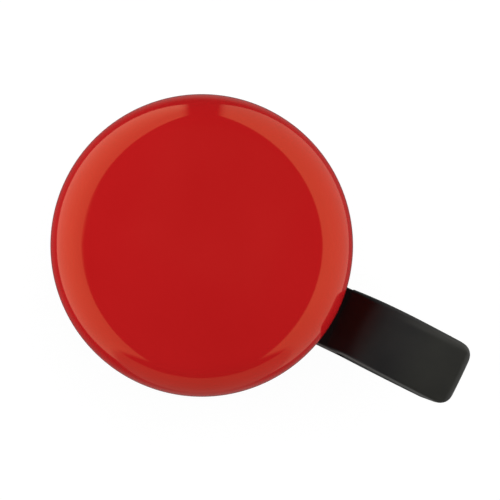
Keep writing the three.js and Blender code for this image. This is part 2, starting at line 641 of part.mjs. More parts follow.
// The pad's upper face along the lever: it climbs away from the dome, levels out and droops a little.
function padTop(along) {
  const share = (along - PAD_START) / PAD_LENGTH;
  const climb = 1 - Math.exp(-share / PAD_CLIMB_SHARE);
  return LEVER_TOP_Z + PAD_STEP + PAD_CLIMB * climb - PAD_DROOP * share ** 3;
}

// The pad, hollow from below, with a rib along its middle.
function thumbPad() {
  const skirtZ = LEVER_Z - PAD_SKIRT;
  const side = new THREE.Shape()
    .moveTo(PAD_START, LEVER_Z)
    .lineTo(PAD_START + PAD_NEAR_BEVEL, skirtZ)
    .lineTo(PAD_END - PAD_FAR_BEVEL, skirtZ)
    .lineTo(PAD_END, skirtZ + PAD_FAR_BEVEL);
  const topSteps = 12;
  for (let i = topSteps; i >= 0; i--) {
    const along = PAD_START + (PAD_LENGTH * i) / topSteps;
    side.lineTo(along, padTop(along));
  }
  const sideGeometry = new THREE.ExtrudeGeometry(side, { depth: PAD_WIDTH, bevelEnabled: false });
  sideGeometry.rotateX(Math.PI / 2).translate(0, PAD_WIDTH / 2, 0);
  const plan = slab(roundedRectangle(PAD_LENGTH, PAD_WIDTH, PAD_CORNER_RADIUS), skirtZ - 1, DOME_TOP_Z, 4);
  const body = solidOf(sideGeometry).intersect(plan.translate([PAD_START + PAD_LENGTH / 2, 0, 0]));

  const pocketStart = PAD_START + PAD_NEAR_BEVEL + PAD_WALL;
  const pocketEnd = PAD_END - PAD_FAR_BEVEL - PAD_WALL / 2;
  const pocketWidth = (PAD_WIDTH - 2 * PAD_WALL - PAD_RIB) / 2;
  const pocketTop = padTop(pocketStart) - PAD_ROOF;
  const pockets = [1, -1].map((hand) =>
    block(
      [pocketEnd - pocketStart, pocketWidth, 2 * (pocketTop - skirtZ)],
      [(pocketStart + pocketEnd) / 2, (hand * (pocketWidth + PAD_RIB)) / 2, skirtZ],
    ),
  );
  return cut(body, ...pockets);
}

// Built about the lever's pivot, at rest, with +X along the lever.
function thumbLever() {
  // At rest the last tooth is in mesh; the rest of them follow it through as the lever is pushed.
  const following = Math.ceil((LEVER_TRAVEL * SECTOR_TEETH) / (2 * Math.PI));
  const teeth = toothedArc(SECTOR_TEETH, -following, following + 1, LEVER_TO_IDLER_ANGLE);
  const sector = slab(new THREE.Shape([new THREE.Vector2(), ...teeth]), LEVER_Z, LEVER_TOP_Z);

  const middle = LEVER_OFFSET - LEVER_PIVOT.y;
  const far = PAD_START + ARM_INTO_PAD - LEVER_PIVOT.x;
  const near = far - ARM_WIDTH + PAD_NEAR_BEVEL;
  const arm = new THREE.Shape()
    .moveTo(-LEVER_HUB_RADIUS * Math.cos(Math.PI / 6), -LEVER_HUB_RADIUS * Math.sin(Math.PI / 6))
    .lineTo(near, middle - ARM_WIDTH / 2)
    .lineTo(far, middle - ARM_WIDTH / 2)
    .lineTo(far, middle + ARM_WIDTH / 2)
    .lineTo(near, middle + ARM_WIDTH / 2)
    .lineTo(0, LEVER_HUB_RADIUS);
  const pegAt = polar(LEVER_PEG_REACH, LEVER_PEG_ANGLE);
  const whole = join(
    disc(LEVER_HUB_RADIUS, LEVER_Z, LEVER_TOP_Z, undefined, 32),
    disc(LEVER_BOSS_RADIUS, LEVER_Z, LEVER_BOSS_Z),
    disc(PEG_RADIUS, LEVER_Z, LEVER_BOSS_Z, pegAt, 16),
    slab(arm, LEVER_Z, LEVER_TOP_Z),
    sector,
    thumbPad().translate([-LEVER_PIVOT.x, middle, 0]),
  );
  const bore = disc(PIVOT_RADIUS + RUNNING, LEVER_Z - 1, LEVER_BOSS_Z + 1);
  return named("thumb_lever", MATERIAL.blackPlastic, cut(whole, bore));
}

// A rivet with a formed head under the base plate, stepped as given above it.
function rivet(radius, footRadius, steps) {
  const footZ = SEAT_Z - RIVET_FOOT_HEIGHT;
  const foot = [
    [0, footZ],
    [footRadius - RIVET_CHAMFER, footZ],
    [footRadius, SEAT_Z],
    [radius, SEAT_Z],
  ];
  return turned([...foot, ...steps, [0, steps.at(-1)[1]]], 24);
}

function leverPivot() {
  const steps = [
    [PIVOT_RADIUS, PIVOT_HEAD_Z],
    [PIVOT_HEAD_RADIUS, PIVOT_HEAD_Z],
    [PIVOT_HEAD_RADIUS - RIVET_CHAMFER, PIVOT_HEAD_Z + PIVOT_HEAD_HEIGHT],
  ];
  return named("lever_pivot", MATERIAL.zincSteel, rivet(PIVOT_RADIUS, PIVOT_FOOT_RADIUS, steps));
}

function leverWasher() {
  const washer = cut(
    disc(PIVOT_WASHER_RADIUS, PIVOT_WASHER_Z, PIVOT_HEAD_Z),
    disc(PIVOT_RADIUS + RUNNING, PIVOT_WASHER_Z - 1, PIVOT_HEAD_Z + 1),
  );
  return named("lever_washer", MATERIAL.zincSteel, washer);
}

// A torsion spring round the lever's boss: its lower leg bears on the base's peg, its upper on the lever's.
// Each leg leaves the coil on a tangent that passes the peg's side with a little clearance.
function returnSpring() {
  const clear = PEG_RADIUS + SPRING_WIRE / 2 + SPRING_REST;
  const legAngle = (reach) => Math.acos((SPRING_MEAN_RADIUS + clear) / reach);
  const legLength = (reach) => Math.sqrt(reach ** 2 - (SPRING_MEAN_RADIUS + clear) ** 2) + SPRING_LEG_END;
  const start = BASE_PEG_ANGLE + legAngle(BASE_PEG_REACH);
  const wound = LEVER_PEG_ANGLE - legAngle(LEVER_PEG_REACH) - start + 2 * Math.PI * (SPRING_TURNS + 1);
  const bottom = LEVER_TOP_Z + SPRING_REST + SPRING_WIRE / 2;
  const coilPoint = (turn) => {
    const at = polar(SPRING_MEAN_RADIUS, start + turn);
    return new THREE.Vector3(at.x, at.y, bottom + (SPRING_PITCH * turn) / (2 * Math.PI));
  };
  const legEnd = (turn, length) => {
    const along = polar(length, start + turn + Math.PI / 2);
    return coilPoint(turn).add(new THREE.Vector3(along.x, along.y, 0));
  };
  const steps = Math.round(wound / SPRING_STEP);
  const points = [
    legEnd(0, -legLength(BASE_PEG_REACH)),
    legEnd(0, -legLength(BASE_PEG_REACH) / 2),
    ...Array.from({ length: steps + 1 }, (_, i) => coilPoint((wound * i) / steps)),
    legEnd(wound, legLength(LEVER_PEG_REACH) / 2),
    legEnd(wound, legLength(LEVER_PEG_REACH)),
  ];
  const wire = new THREE.ExtrudeGeometry(regularPolygon(8, SPRING_WIRE), {
    steps: 2 * steps,
    extrudePath: new THREE.CatmullRomCurve3(points),
  });
  return named("return_spring", MATERIAL.springSteel, solidOf(wire));
}

// ---------------------------------------------------------------- gears and rotor

function idlerGear() {
  const bore = disc(IDLER_AXLE_RADIUS + RUNNING, LEVER_Z - 1, IDLER_TOP_Z + 1);
  const whole = join(
    gear(IDLER_PINION_TEETH, IDLER_PINION_TURN, LEVER_Z, IDLER_WHEEL_Z + IDLER_WHEEL_THICKNESS / 2),
    gear(IDLER_WHEEL_TEETH, IDLER_WHEEL_TURN, IDLER_WHEEL_Z, IDLER_TOP_Z),
  );
  return named("idler_gear", MATERIAL.whiteNylon, cut(whole, bore));
}

function idlerAxle() {
  const top = IDLER_TOP_Z + RUNNING + CLIP_THICKNESS + IDLER_AXLE_PROUD;
  const steps = [
    [IDLER_AXLE_RADIUS, top - RIVET_CHAMFER],
    [IDLER_AXLE_RADIUS - RIVET_CHAMFER, top],
  ];
  return named("idler_axle", MATERIAL.zincSteel, rivet(IDLER_AXLE_RADIUS, IDLER_AXLE_FOOT_RADIUS, steps));
}

function idlerClip() {
  const bottom = IDLER_TOP_Z + RUNNING;
  const clip = cut(
    disc(CLIP_RADIUS, bottom, bottom + CLIP_THICKNESS),
    disc(IDLER_AXLE_RADIUS + CLIP_FIT, bottom - 1, bottom + CLIP_THICKNESS + 1),
  );
  return named("idler_clip", MATERIAL.springSteel, clip);
}

function rotorHub() {
  const collarZ = IDLER_TOP_Z + GAP;
  const whole = join(
    gear(ROTOR_PINION_TEETH, ROTOR_PINION_TURN, ROTOR_HUB_Z, ROTOR_ARM_Z - GAP),
    disc(ROTOR_HUB_RADIUS, collarZ, ROTOR_ARM_Z, undefined, 28),
    disc(ROTOR_SPIGOT_RADIUS, collarZ, SPIGOT_TOP_Z),
  );
  const bore = disc(POST_RADIUS + RUNNING, ROTOR_HUB_Z - 1, SPIGOT_TOP_Z + 1);
  return named("rotor_hub", MATERIAL.whiteNylon, cut(whole, bore));
}

// The rotor's own group has +X along its arm.
function rotorArm() {
  const half = ROTOR_ARM_WIDTH / 2;
  const quarter = Math.PI / 4;
  const outline = new THREE.Shape()
    .absarc(STRIKER_REACH, 0, half, -2 * quarter, 2 * quarter)
    .absarc(0, 0, ROTOR_ARM_WAIST_RADIUS, quarter, 3 * quarter)
    .absarc(-STRIKER_REACH, 0, half, 2 * quarter, 6 * quarter)
    .absarc(0, 0, ROTOR_ARM_WAIST_RADIUS, 5 * quarter, 7 * quarter);
  const hole = (radius, x) =>
    disc(radius + PRESS_FIT, ROTOR_ARM_Z - 1, STRIKER_Z + 1, new THREE.Vector2(x, 0));
  const arm = cut(
    slab(outline, ROTOR_ARM_Z, STRIKER_Z, 8),
    hole(ROTOR_SPIGOT_RADIUS, 0),
    hole(STRIKER_PIN_RADIUS, STRIKER_REACH),
    hole(STRIKER_PIN_RADIUS, -STRIKER_REACH),
  );
  return named("rotor_arm", MATERIAL.brightSteel, arm);
}

// One loose washer on its headed pin, at that end of the arm.
function striker(place, side) {
  const group = new THREE.Group();
  group.position.x = side * STRIKER_REACH;
  const headTop = STRIKER_PIN_HEAD_Z + STRIKER_PIN_HEAD_HEIGHT;
  const pin = turned(
    [
      [0, ROTOR_ARM_Z],
      [STRIKER_PIN_RADIUS, ROTOR_ARM_Z],
      [STRIKER_PIN_RADIUS, STRIKER_PIN_HEAD_Z],
      [STRIKER_PIN_HEAD_RADIUS, STRIKER_PIN_HEAD_Z],
      [STRIKER_PIN_HEAD_RADIUS - STRIKER_PIN_CHAMFER, headTop],
      [0, headTop],
    ],
    20,
  );
  const washer = cut(
    disc(STRIKER_RADIUS, STRIKER_Z, STRIKER_Z + STRIKER_THICKNESS, undefined, 32),
    disc(STRIKER_HOLE_RADIUS, STRIKER_Z - 1, STRIKER_Z + STRIKER_THICKNESS + 1, undefined, 32),
  );
  group.add(
    named(`striker_pin_${place}`, MATERIAL.zincSteel, pin),
    named(`striker_${place}`, MATERIAL.brightSteel, washer),
  );
  return group;
}

function mechanism() {
  const group = new THREE.Group();
  group.rotation.z = LEVER_AZIMUTH;

  const lever = new THREE.Group();
  lever.position.set(LEVER_PIVOT.x, LEVER_PIVOT.y, 0);
  lever.add(thumbLever(), leverPivot(), leverWasher(), returnSpring());

  const idler = new THREE.Group();
  idler.position.set(IDLER_AT.x, IDLER_AT.y, 0);
  idler.add(idlerGear(), idlerAxle(), idlerClip());

  const rotor = new THREE.Group();
  rotor.rotation.z = ROTOR_AZIMUTH;
  rotor.add(rotorArm(), striker("a", 1), striker("b", -1));

  group.add(basePlate(), centrePost(), ...postStack(), rotorHub(), lever, idler, rotor);
  return group;
}

// ---------------------------------------------------------------- the bell

const bell = new THREE.Group();
bell.name = "bicycle_bell";
bell.add(clamp(), mechanism(), dome(), domeBoss());

export default bell;
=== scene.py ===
# The looks of a bicycle bell: a red lacquered dome, a satin black thumb lever and base, a geared striker
# rotor under the dome, and a two-part handlebar clamp. Sizes below are in millimetres.
import json
import math

import bmesh
import bpy
from mathutils import Matrix, Vector


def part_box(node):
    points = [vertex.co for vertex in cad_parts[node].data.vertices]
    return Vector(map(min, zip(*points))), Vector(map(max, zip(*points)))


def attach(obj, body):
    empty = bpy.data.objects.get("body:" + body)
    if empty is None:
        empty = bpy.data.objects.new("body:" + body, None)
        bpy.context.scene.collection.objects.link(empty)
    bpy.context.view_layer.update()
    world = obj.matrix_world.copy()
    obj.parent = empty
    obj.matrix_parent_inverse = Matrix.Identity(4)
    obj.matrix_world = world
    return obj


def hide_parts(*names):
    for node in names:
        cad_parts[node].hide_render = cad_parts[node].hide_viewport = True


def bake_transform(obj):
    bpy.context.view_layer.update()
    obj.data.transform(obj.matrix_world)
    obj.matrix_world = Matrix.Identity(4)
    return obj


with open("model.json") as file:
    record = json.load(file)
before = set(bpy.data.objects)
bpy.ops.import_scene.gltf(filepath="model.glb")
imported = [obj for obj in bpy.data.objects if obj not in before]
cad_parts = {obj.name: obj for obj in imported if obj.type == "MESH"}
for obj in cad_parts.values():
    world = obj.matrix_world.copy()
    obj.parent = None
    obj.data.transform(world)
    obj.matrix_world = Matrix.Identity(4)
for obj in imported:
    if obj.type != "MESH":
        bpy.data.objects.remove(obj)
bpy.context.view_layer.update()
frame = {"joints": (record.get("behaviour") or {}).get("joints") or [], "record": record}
MM = 0.001
RECORD = frame["record"]
BODY_OF = {node: body for body, nodes in RECORD["behaviour"]["bodies"].items() for node in nodes}
SLOT_OF = {part["node"]: part["material_slot"] for part in RECORD["subparts"]}
JOINTS = {joint["name"]: joint for joint in frame["joints"]}
LEVER_TURN = math.radians(-25.8)  # the lever's line, from +X
ALONG = Vector((math.cos(LEVER_TURN), math.sin(LEVER_TURN), 0))
ACROSS = Vector((-ALONG.y, ALONG.x, 0))


# ---------------------------------------------------------------- node trees


class Socket:
    """A node's output. Arithmetic on it adds Math nodes to its tree."""

    def __init__(self, tree, output):
        self.tree = tree
        self.output = output

    def math(self, operation, *values):
        return self.tree.node("ShaderNodeMath", {"operation": operation}, dict(enumerate(values)))

    def __add__(self, other):
        return self.math("ADD", self, other)

    def __radd__(self, other):
        return self.math("ADD", other, self)

    def __sub__(self, other):
        return self.math("SUBTRACT", self, other)

    def __rsub__(self, other):
        return self.math("SUBTRACT", other, self)

    def __mul__(self, other):
        return self.math("MULTIPLY", self, other)

    def __rmul__(self, other):
        return self.math("MULTIPLY", other, self)

    def __truediv__(self, other):
        return self.math("DIVIDE", self, other)

    def __rtruediv__(self, other):
        return self.math("DIVIDE", other, self)

    def __abs__(self):
        return self.math("ABSOLUTE", self)

    def ramp(self, low, high, start=0.0, end=1.0):
        """start where this is low, end where it is high, and a straight ramp held at both ends."""
        settings = {"clamp": True}
        return self.tree.node("ShaderNodeMapRange", settings, {0: self, 1: low, 2: high, 3: start, 4: end})

    def soft(self, low, high, start=0.0, end=1.0):
        """Like ramp, with a smooth start and end."""
        settings = {"clamp": True, "interpolation_type": "SMOOTHSTEP"}
        return self.tree.node("ShaderNodeMapRange", settings, {0: self, 1: low, 2: high, 3: start, 4: end})


class Tree:
    """A node tree, filled by one method that adds a node."""

    def __init__(self, tree):
        self.tree = tree

    def node(self, kind, settings=None, inputs=None, output=0):
        made = self.tree.nodes.new(kind)
        for name, value in (settings or {}).items():
            setattr(made, name, value)
        for key, value in (inputs or {}).items():
            if isinstance(value, Socket):
                self.tree.links.new(value.output, made.inputs[key])
            else:
                made.inputs[key].default_value = value
        return Socket(self, made.outputs[output]) if made.outputs else made

    def mix(self, factor, first, second):
        """A colour between two colours."""
        settings = {"data_type": "RGBA"}
        return self.node("ShaderNodeMix", settings, {0: factor, 6: first, 7: second}, output=2)

    def dot(self, position, line):
        """How far a place is along a line through the origin."""
        given = {0: position, 1: tuple(line)}
        return self.node("ShaderNodeVectorMath", {"operation": "DOT_PRODUCT"}, given, output=1)

    def noise(self, position, scale, detail=3.0, roughness=0.5, stretch=None):
        if stretch:
            position = self.node("ShaderNodeMapping", None, {"Vector": position, "Scale": stretch})
        inputs = {"Vector": position, "Scale": scale, "Detail": detail, "Roughness": roughness}
        return self.node("ShaderNodeTexNoise", None, inputs)

    def bump(self, height, distance, strength=1.0, under=None):
        inputs = {"Height": height, "Distance": distance, "Strength": strength}
        if under:
            inputs["Normal"] = under
        return self.node("ShaderNodeBump", None, inputs)


def rgb(red, green, blue):
    """A display colour, 0 to 255, as a linear one."""
    channels = [value / 255 for value in (red, green, blue)]
    linear = [c / 12.92 if c <= 0.04045 else ((c + 0.055) / 1.055) ** 2.4 for c in channels]
    return (*linear, 1.0)


def surface(name, build):
    """A material. build(tree, position) gives the inputs of its Principled BSDF."""
    material = bpy.data.materials.new(name)
    material.use_nodes = True
    material.node_tree.nodes.clear()
    tree = Tree(material.node_tree)
    position = tree.node("ShaderNodeTexCoord", output="Object")
    shader = tree.node("ShaderNodeBsdfPrincipled", None, build(tree, position))
    tree.node("ShaderNodeOutputMaterial", None, {"Surface": shader})
    return material


# ---------------------------------------------------------------- finishes


def red_lacquer(tree, position):
    """Deep red baked enamel: highlights turn orange in its tinted gloss, with the faintest orange peel."""
    clouds = tree.noise(position, 55, 2)
    peel = tree.noise(position, 420, 2)
    flow = tree.noise(position, 90, 1)
    skin = tree.bump(peel, 0.0000008, 0.4)
    return {
        "Base Color": tree.mix(clouds.ramp(0.3, 0.7), rgb(196, 21, 26), rgb(200, 24, 29)),
        "Roughness": clouds.ramp(0.3, 0.7, 0.05, 0.065),
        "IOR": 2.3,
        "Specular Tint": (1.0, 0.4, 0.15, 1.0),
        "Normal": tree.bump(flow, 0.0000025, 0.4, skin),
    }


def satin_black(tree, position):
    """Black acetal with a fine grain; painted light and shade are part of its colour.

    The near-black beside the dome, on the sides and on the arm is painted shade, the lighter grey at the far
    end is a painted sheen, and the pale lines along both edges are painted highlights."""
    grain = tree.noise(position, 3800, 2, 0.6)
    cloud = tree.noise(position, 140, 3)
    leather = tree.node("ShaderNodeTexVoronoi", None, {"Vector": position, "Scale": 2600})
    along = tree.dot(position, ALONG)
    across = tree.dot(position, ACROSS)
    share = along.ramp(0.0286, 0.0536)
    # painted shade: a near-black used beside the dome and for everything below the top's edges
    painted_shade_black = tree.mix(cloud.ramp(0.35, 0.7), rgb(5, 4, 4), rgb(9, 8, 8))
    plain = tree.mix(cloud.ramp(0.35, 0.7), rgb(34, 34, 34), rgb(38, 38, 37))
    # painted sheen: a lighter grey for the far end of the top, where it catches the light
    far_end_sheen = tree.mix(cloud.ramp(0.35, 0.7), rgb(41, 41, 38), rgb(45, 45, 41))
    # painted shade beside the dome, easing into the plain grey further along
    inner = tree.mix(along.soft(0.030, 0.0375), painted_shade_black, plain)
    split = tree.node("ShaderNodeSeparateXYZ", None, {"Vector": position})
    height = Socket(tree, split.output.node.outputs[2])
    face = tree.mix(along.soft(0.040, 0.048), inner, far_end_sheen)
    # painted highlight: a pale band just inside the upper edge of the top
    from_top = 0.0052 - across
    upper_edge_highlight = from_top.soft(0.0004, 0.0009) * from_top.soft(0.0012, 0.002, 1, 0) * along.soft(0.036, 0.044)
    face = tree.mix(upper_edge_highlight * 0.5, face, rgb(64, 64, 60))
    # painted highlight: a pale line along the lower edge, just above the side wall
    from_edge = across + 0.0074 + share * 0.00044
    from_wall = from_edge - along.soft(0.0295, 0.0325, 0.0001, 0.00048) + share * 0.00025
    lower_edge_highlight = from_wall.soft(-0.00006, 0.00004) * from_wall.soft(0.0002, 0.0005, 1, 0)
    # painted shade: everything below the top's edges, meaning the pad's sides and the arm, goes near-black
    face = tree.mix(height.soft(0.0206, 0.0216), painted_shade_black, face)
    pits = tree.bump(leather, 0.000012, 0.25)
    return {
        "Base Color": tree.mix(lower_edge_highlight * height.soft(0.0186, 0.0190), face, rgb(88, 88, 86)),
        "Roughness": cloud.ramp(0.3, 0.7, 0.34, 0.42) + grain.ramp(0.3, 0.7, -0.03, 0.03),
        "IOR": 1.42,
        "Normal": tree.bump(grain, 0.00001, 0.3, pits),
    }


def moulded_black(tree, position):
    """Glass-filled black nylon: a duller, coarser relation of the lever's plastic."""
    grain = tree.noise(position, 1700, 3, 0.7)
    cloud = tree.noise(position, 90, 3)
    return {
        "Base Color": tree.mix(cloud.ramp(0.35, 0.7), rgb(27, 27, 27), rgb(36, 36, 35)),
        "Roughness": cloud.ramp(0.3, 0.7, 0.46, 0.58),
        "IOR": 1.5,
        "Normal": tree.bump(grain, 0.00003, 0.4),
    }


def zinc_plate(tree, position):
    """Bright zinc over steel: a soft bluish bloom, fine spangle, and a few duller freckles."""
    bloom = tree.noise(position, 110, 3)
    spangle = tree.noise(position, 1500, 2)
    freckle = tree.noise(position, 700, 4, 0.7)
    plated = tree.mix(bloom.ramp(0.35, 0.68), rgb(205, 207, 209), rgb(190, 196, 204))
    return {
        "Base Color": tree.mix(freckle.soft(0.62, 0.74), plated, rgb(158, 158, 154)),
        "Metallic": 1.0,
        "Roughness": bloom.ramp(0.3, 0.7, 0.24, 0.36) + freckle.soft(0.6, 0.75, 0, 0.12),
        "Normal": tree.bump(spangle, 0.000008, 0.35),
    }


def pressed_steel(tree, position):
    """Plain pressed steel, with the long fine lines of rolling and a few crossing scratches."""
    rolled = tree.noise(position, 900, 3, 0.6, (0.06, 1.0, 1.0))
    crossing = tree.noise(position, 1500, 2, 0.6, (1.0, 0.05, 1.0))
    tone = tree.noise(position, 160, 3)
    return {
        "Base Color": tree.mix(tone.ramp(0.35, 0.7), rgb(214, 214, 213), rgb(192, 191, 188)),
        "Metallic": 1.0,
        "Roughness": rolled.ramp(0.3, 0.7, 0.2, 0.34),
        "Normal": tree.bump(rolled + 0.4 * crossing, 0.000012, 0.4),
    }


def spring_wire(tree, position):
    """Oil-tempered wire: dark, even and drawn."""
    drawn = tree.noise(position, 2400, 3, 0.6)
    tone = tree.noise(position, 300, 2)
    return {
        "Base Color": tree.mix(tone.ramp(0.35, 0.7), rgb(150, 151, 154), rgb(118, 118, 122)),
        "Metallic": 1.0,
        "Roughness": tone.ramp(0.3, 0.7, 0.22, 0.32),
        "Normal": tree.bump(drawn, 0.000006, 0.4),
    }


def natural_nylon(tree, position):
    """Milky moulded nylon, slightly yellowed in patches."""
    patch = tree.noise(position, 120, 3)
    grain = tree.noise(position, 2100, 2)
    return {
        "Base Color": tree.mix(patch.ramp(0.35, 0.7), rgb(229, 226, 214), rgb(216, 210, 190)),
        "Roughness": patch.ramp(0.3, 0.7, 0.36, 0.48),
        "Subsurface Weight": 0.12,
        "Subsurface Scale": 0.001,
        "Normal": tree.bump(grain, 0.00001, 0.3),
    }


def black_rubber(tree, position):
    """Matt moulded rubber with a dusty bloom."""
    bloom = tree.noise(position, 130, 4, 0.6)
    grain = tree.noise(position, 2600, 3, 0.7)
    return {
        "Base Color": tree.mix(bloom.ramp(0.4, 0.75), rgb(24, 24, 24), rgb(46, 45, 44)),
        "Roughness": bloom.ramp(0.3, 0.7, 0.72, 0.86),
        "Normal": tree.bump(grain, 0.00003, 0.5),
    }


def red_fibre(tree, position):
    """Vulcanised fibre, pressed in layers."""
    layers = tree.noise(position, 900, 4, 0.7, (1.0, 1.0, 0.2))
    return {
        "Base Color": tree.mix(layers.ramp(0.3, 0.7), rgb(128, 58, 44), rgb(96, 40, 30)),
        "Roughness": layers.ramp(0.3, 0.7, 0.7, 0.85),
        "Normal": tree.bump(layers, 0.00002, 0.5),
    }


FINISH = {
    "red_lacquer": surface("red lacquer", red_lacquer),
    "black_plastic": surface("moulded black plastic", moulded_black),
    "zinc_steel": surface("bright zinc plate", zinc_plate),
    "bright_steel": surface("pressed steel", pressed_steel),
    "spring_steel": surface("spring wire", spring_wire),
    "white_nylon": surface("natural nylon", natural_nylon),
    "black_rubber": surface("black rubber", black_rubber),
    "red_fibre": surface("red fibre", red_fibre),
}
LEVER_FINISH = surface("satin black lever plastic", satin_black)


# ---------------------------------------------------------------- making meshes


def add_object(name, data):
    piece = bpy.data.objects.new(name, data)
    bpy.context.scene.collection.objects.link(piece)
    return piece


def mesh_piece(name, vertices, faces=(), edges=()):
    mesh = bpy.data.meshes.new(name)
    mesh.from_pydata([Vector(v) * MM for v in vertices], edges, faces)
    return add_object(name, mesh)


def settled(piece, outward=True):
    """The piece with its modifiers made real, its place in its mesh and its faces outwards."""
    bpy.context.view_layer.update()
    evaluated = piece.evaluated_get(bpy.context.evaluated_depsgraph_get())
    mesh = bpy.data.meshes.new_from_object(evaluated)
    mesh.transform(piece.matrix_world)
    name = piece.name
    piece.name = name + "_raw"
    bpy.data.objects.remove(piece)
    work = bmesh.new()
    work.from_mesh(mesh)
    bmesh.ops.remove_doubles(work, verts=work.verts, dist=0.001 * MM)
    bmesh.ops.dissolve_degenerate(work, dist=0.0005 * MM, edges=work.edges)
    if outward:
        bmesh.ops.recalc_face_normals(work, faces=work.faces)
    work.to_mesh(mesh)
    work.free()
    mesh.name = name
    return add_object(name, mesh)


def smooth(piece, angle=35):
    """Rounds shade smoothly, and edges sharper than the angle stay crisp."""
    piece.data.shade_smooth()
    piece.data.set_sharp_from_angle(angle=math.radians(angle))
    return piece


def moved(piece, across=(0, 0, 0), turn=0.0):
    piece.data.transform(Matrix.Translation(Vector(across) * MM) @ Matrix.Rotation(turn, 4, "Z"))
    return piece


def combined(name, *pieces):
    """Several meshes in one piece, each keeping its own closed surface."""
    work = bmesh.new()
    for piece in pieces:
        work.from_mesh(piece.data)
        bpy.data.objects.remove(piece)
    mesh = bpy.data.meshes.new(name)
    work.to_mesh(mesh)
    work.free()
    return add_object(name, mesh)


def boolean(piece, operation, *tools):
    for tool in tools:
        modifier = piece.modifiers.new(operation, "BOOLEAN")
        modifier.operation = operation
        modifier.solver = "EXACT"
        modifier.object = tool
    made = settled(piece)
    for tool in tools:
        bpy.data.objects.remove(tool)
    return made


def rectangle(left, low, right, high, third):
    """The corners of a rectangle, all with the same third number: a radius, or a height."""
    return [(left, low, third), (right, low, third), (right, high, third), (left, high, third)]


def arc(centre, radius, start, end, steps):
    angles = [start + (end - start) * i / steps for i in range(steps + 1)]
    return [(centre[0] + radius * math.cos(a), centre[1] + radius * math.sin(a)) for a in angles]


def rounded(corners, steps=6, closed=True):
    """An outline whose corners (x, y, radius) are replaced by arcs."""
    outline = []
    count = len(corners)
    for i, (x, y, radius) in enumerate(corners):
        here = Vector((x, y))
        at_end = not closed and i in (0, count - 1)
        if at_end or radius <= 0:
            outline.append((x, y))
            continue
        before = Vector(corners[i - 1][:2]) - here
        after = Vector(corners[(i + 1) % count][:2]) - here
        half = before.angle(after) / 2
        reach = min(radius / math.tan(half), before.length * 0.49, after.length * 0.49)
        radius = reach * math.tan(half)
        centre = here + (before.normalized() + after.normalized()).normalized() * radius / math.sin(half)
        first = here + before.normalized() * reach - centre
        last = here + after.normalized() * reach - centre
        turn = first.angle_signed(last)
        start = math.atan2(first.y, first.x)
        outline += arc(centre, radius, start, start - turn, steps)
    return outline


def circle(radius, centre=(0, 0), steps=64):
    return arc(centre, radius, 0, 2 * math.pi, steps)[:-1]


def plate(name, outlines, bottom, top, edge=0.1, steps=2):
    """Outlines in X and Y, holes among them, as a plate with rounded edges from bottom to top."""
    data = bpy.data.curves.new(name, "CURVE")
    data.dimensions = "2D"
    data.fill_mode = "BOTH"
    data.extrude = (top - bottom) / 2 * MM - edge * MM
    data.bevel_depth = edge * MM
    data.bevel_resolution = steps
    data.offset = -edge * MM
    for outline in outlines:
        spline = data.splines.new("POLY")
        spline.points.add(len(outline) - 1)
        for point, (x, y) in zip(spline.points, outline):
            point.co = (x * MM, y * MM, 0, 1)
        spline.use_cyclic_u = True
    return moved(settled(add_object(name, data)), (0, 0, (bottom + top) / 2))


def wire(name, points, radius, sides=10):
    """A round wire through the points, with closed ends."""
    data = bpy.data.curves.new(name, "CURVE")
    data.dimensions = "3D"
    data.bevel_depth = radius * MM
    data.bevel_resolution = sides // 2
    data.use_fill_caps = True
    spline = data.splines.new("POLY")
    spline.points.add(len(points) - 1)
    for point, at in zip(spline.points, points):
        point.co = (*(Vector(at) * MM), 1)
    return settled(add_object(name, data))


# ---------------------------------------------------------------- geometry node trees


def geometry_tree(name, sizes):
    """A tree with a geometry input, the named sizes and a material: gives the tree and its inputs."""
    group = bpy.data.node_groups.new(name, "GeometryNodeTree")
    group.interface.new_socket("Geometry", in_out="INPUT", socket_type="NodeSocketGeometry")
    for size, kind in sizes.items():
        group.interface.new_socket(size, in_out="INPUT", socket_type="NodeSocket" + kind)
    group.interface.new_socket("Material", in_out="INPUT", socket_type="NodeSocketMaterial")
    group.interface.new_socket("Geometry", in_out="OUTPUT", socket_type="NodeSocketGeometry")
    tree = Tree(group)
    entry = group.nodes.new("NodeGroupInput")
    return tree, {socket.name: Socket(tree, socket) for socket in entry.outputs if socket.name}


def close_tree(tree, given, geometry):
    real = tree.node("GeometryNodeRealizeInstances", None, {"Geometry": geometry})
    painted = tree.node("GeometryNodeSetMaterial", None, {"Geometry": real, "Material": given["Material"]})
    tree.node("NodeGroupOutput", None, {"Geometry": painted})
    return tree.tree


def grown(piece, tree, material, **sizes):
    """The piece put through a geometry tree, as a plain mesh."""
    modifier = piece.modifiers.new(tree.name, "NODES")
    modifier.node_group = tree
    values = {name.replace("_", " "): value for name, value in sizes.items()}
    values["Material"] = material
    for socket in tree.interface.items_tree:
        if socket.in_out == "INPUT" and socket.name in values:
            modifier[socket.identifier] = values[socket.name]
    return settled(piece)


def lathe_tree():
    """Sweeps a profile, drawn as edges in X and Y, round a circle of its own offset from the axis."""
    tree, given = geometry_tree("lathe", {"Segments": "Int", "Offset": "Float"})
    profile = tree.node("GeometryNodeMeshToCurve", None, {"Mesh": given["Geometry"]})
    ring_inputs = {"Resolution": given["Segments"], "Radius": given["Offset"]}
    ring = tree.node("GeometryNodeCurvePrimitiveCircle", None, ring_inputs)
    swept = tree.node("GeometryNodeCurveToMesh", None, {"Curve": ring, "Profile Curve": profile})
    welded = tree.node("GeometryNodeMergeByDistance", None, {"Geometry": swept, "Distance": 0.001 * MM})
    return close_tree(tree, given, welded)


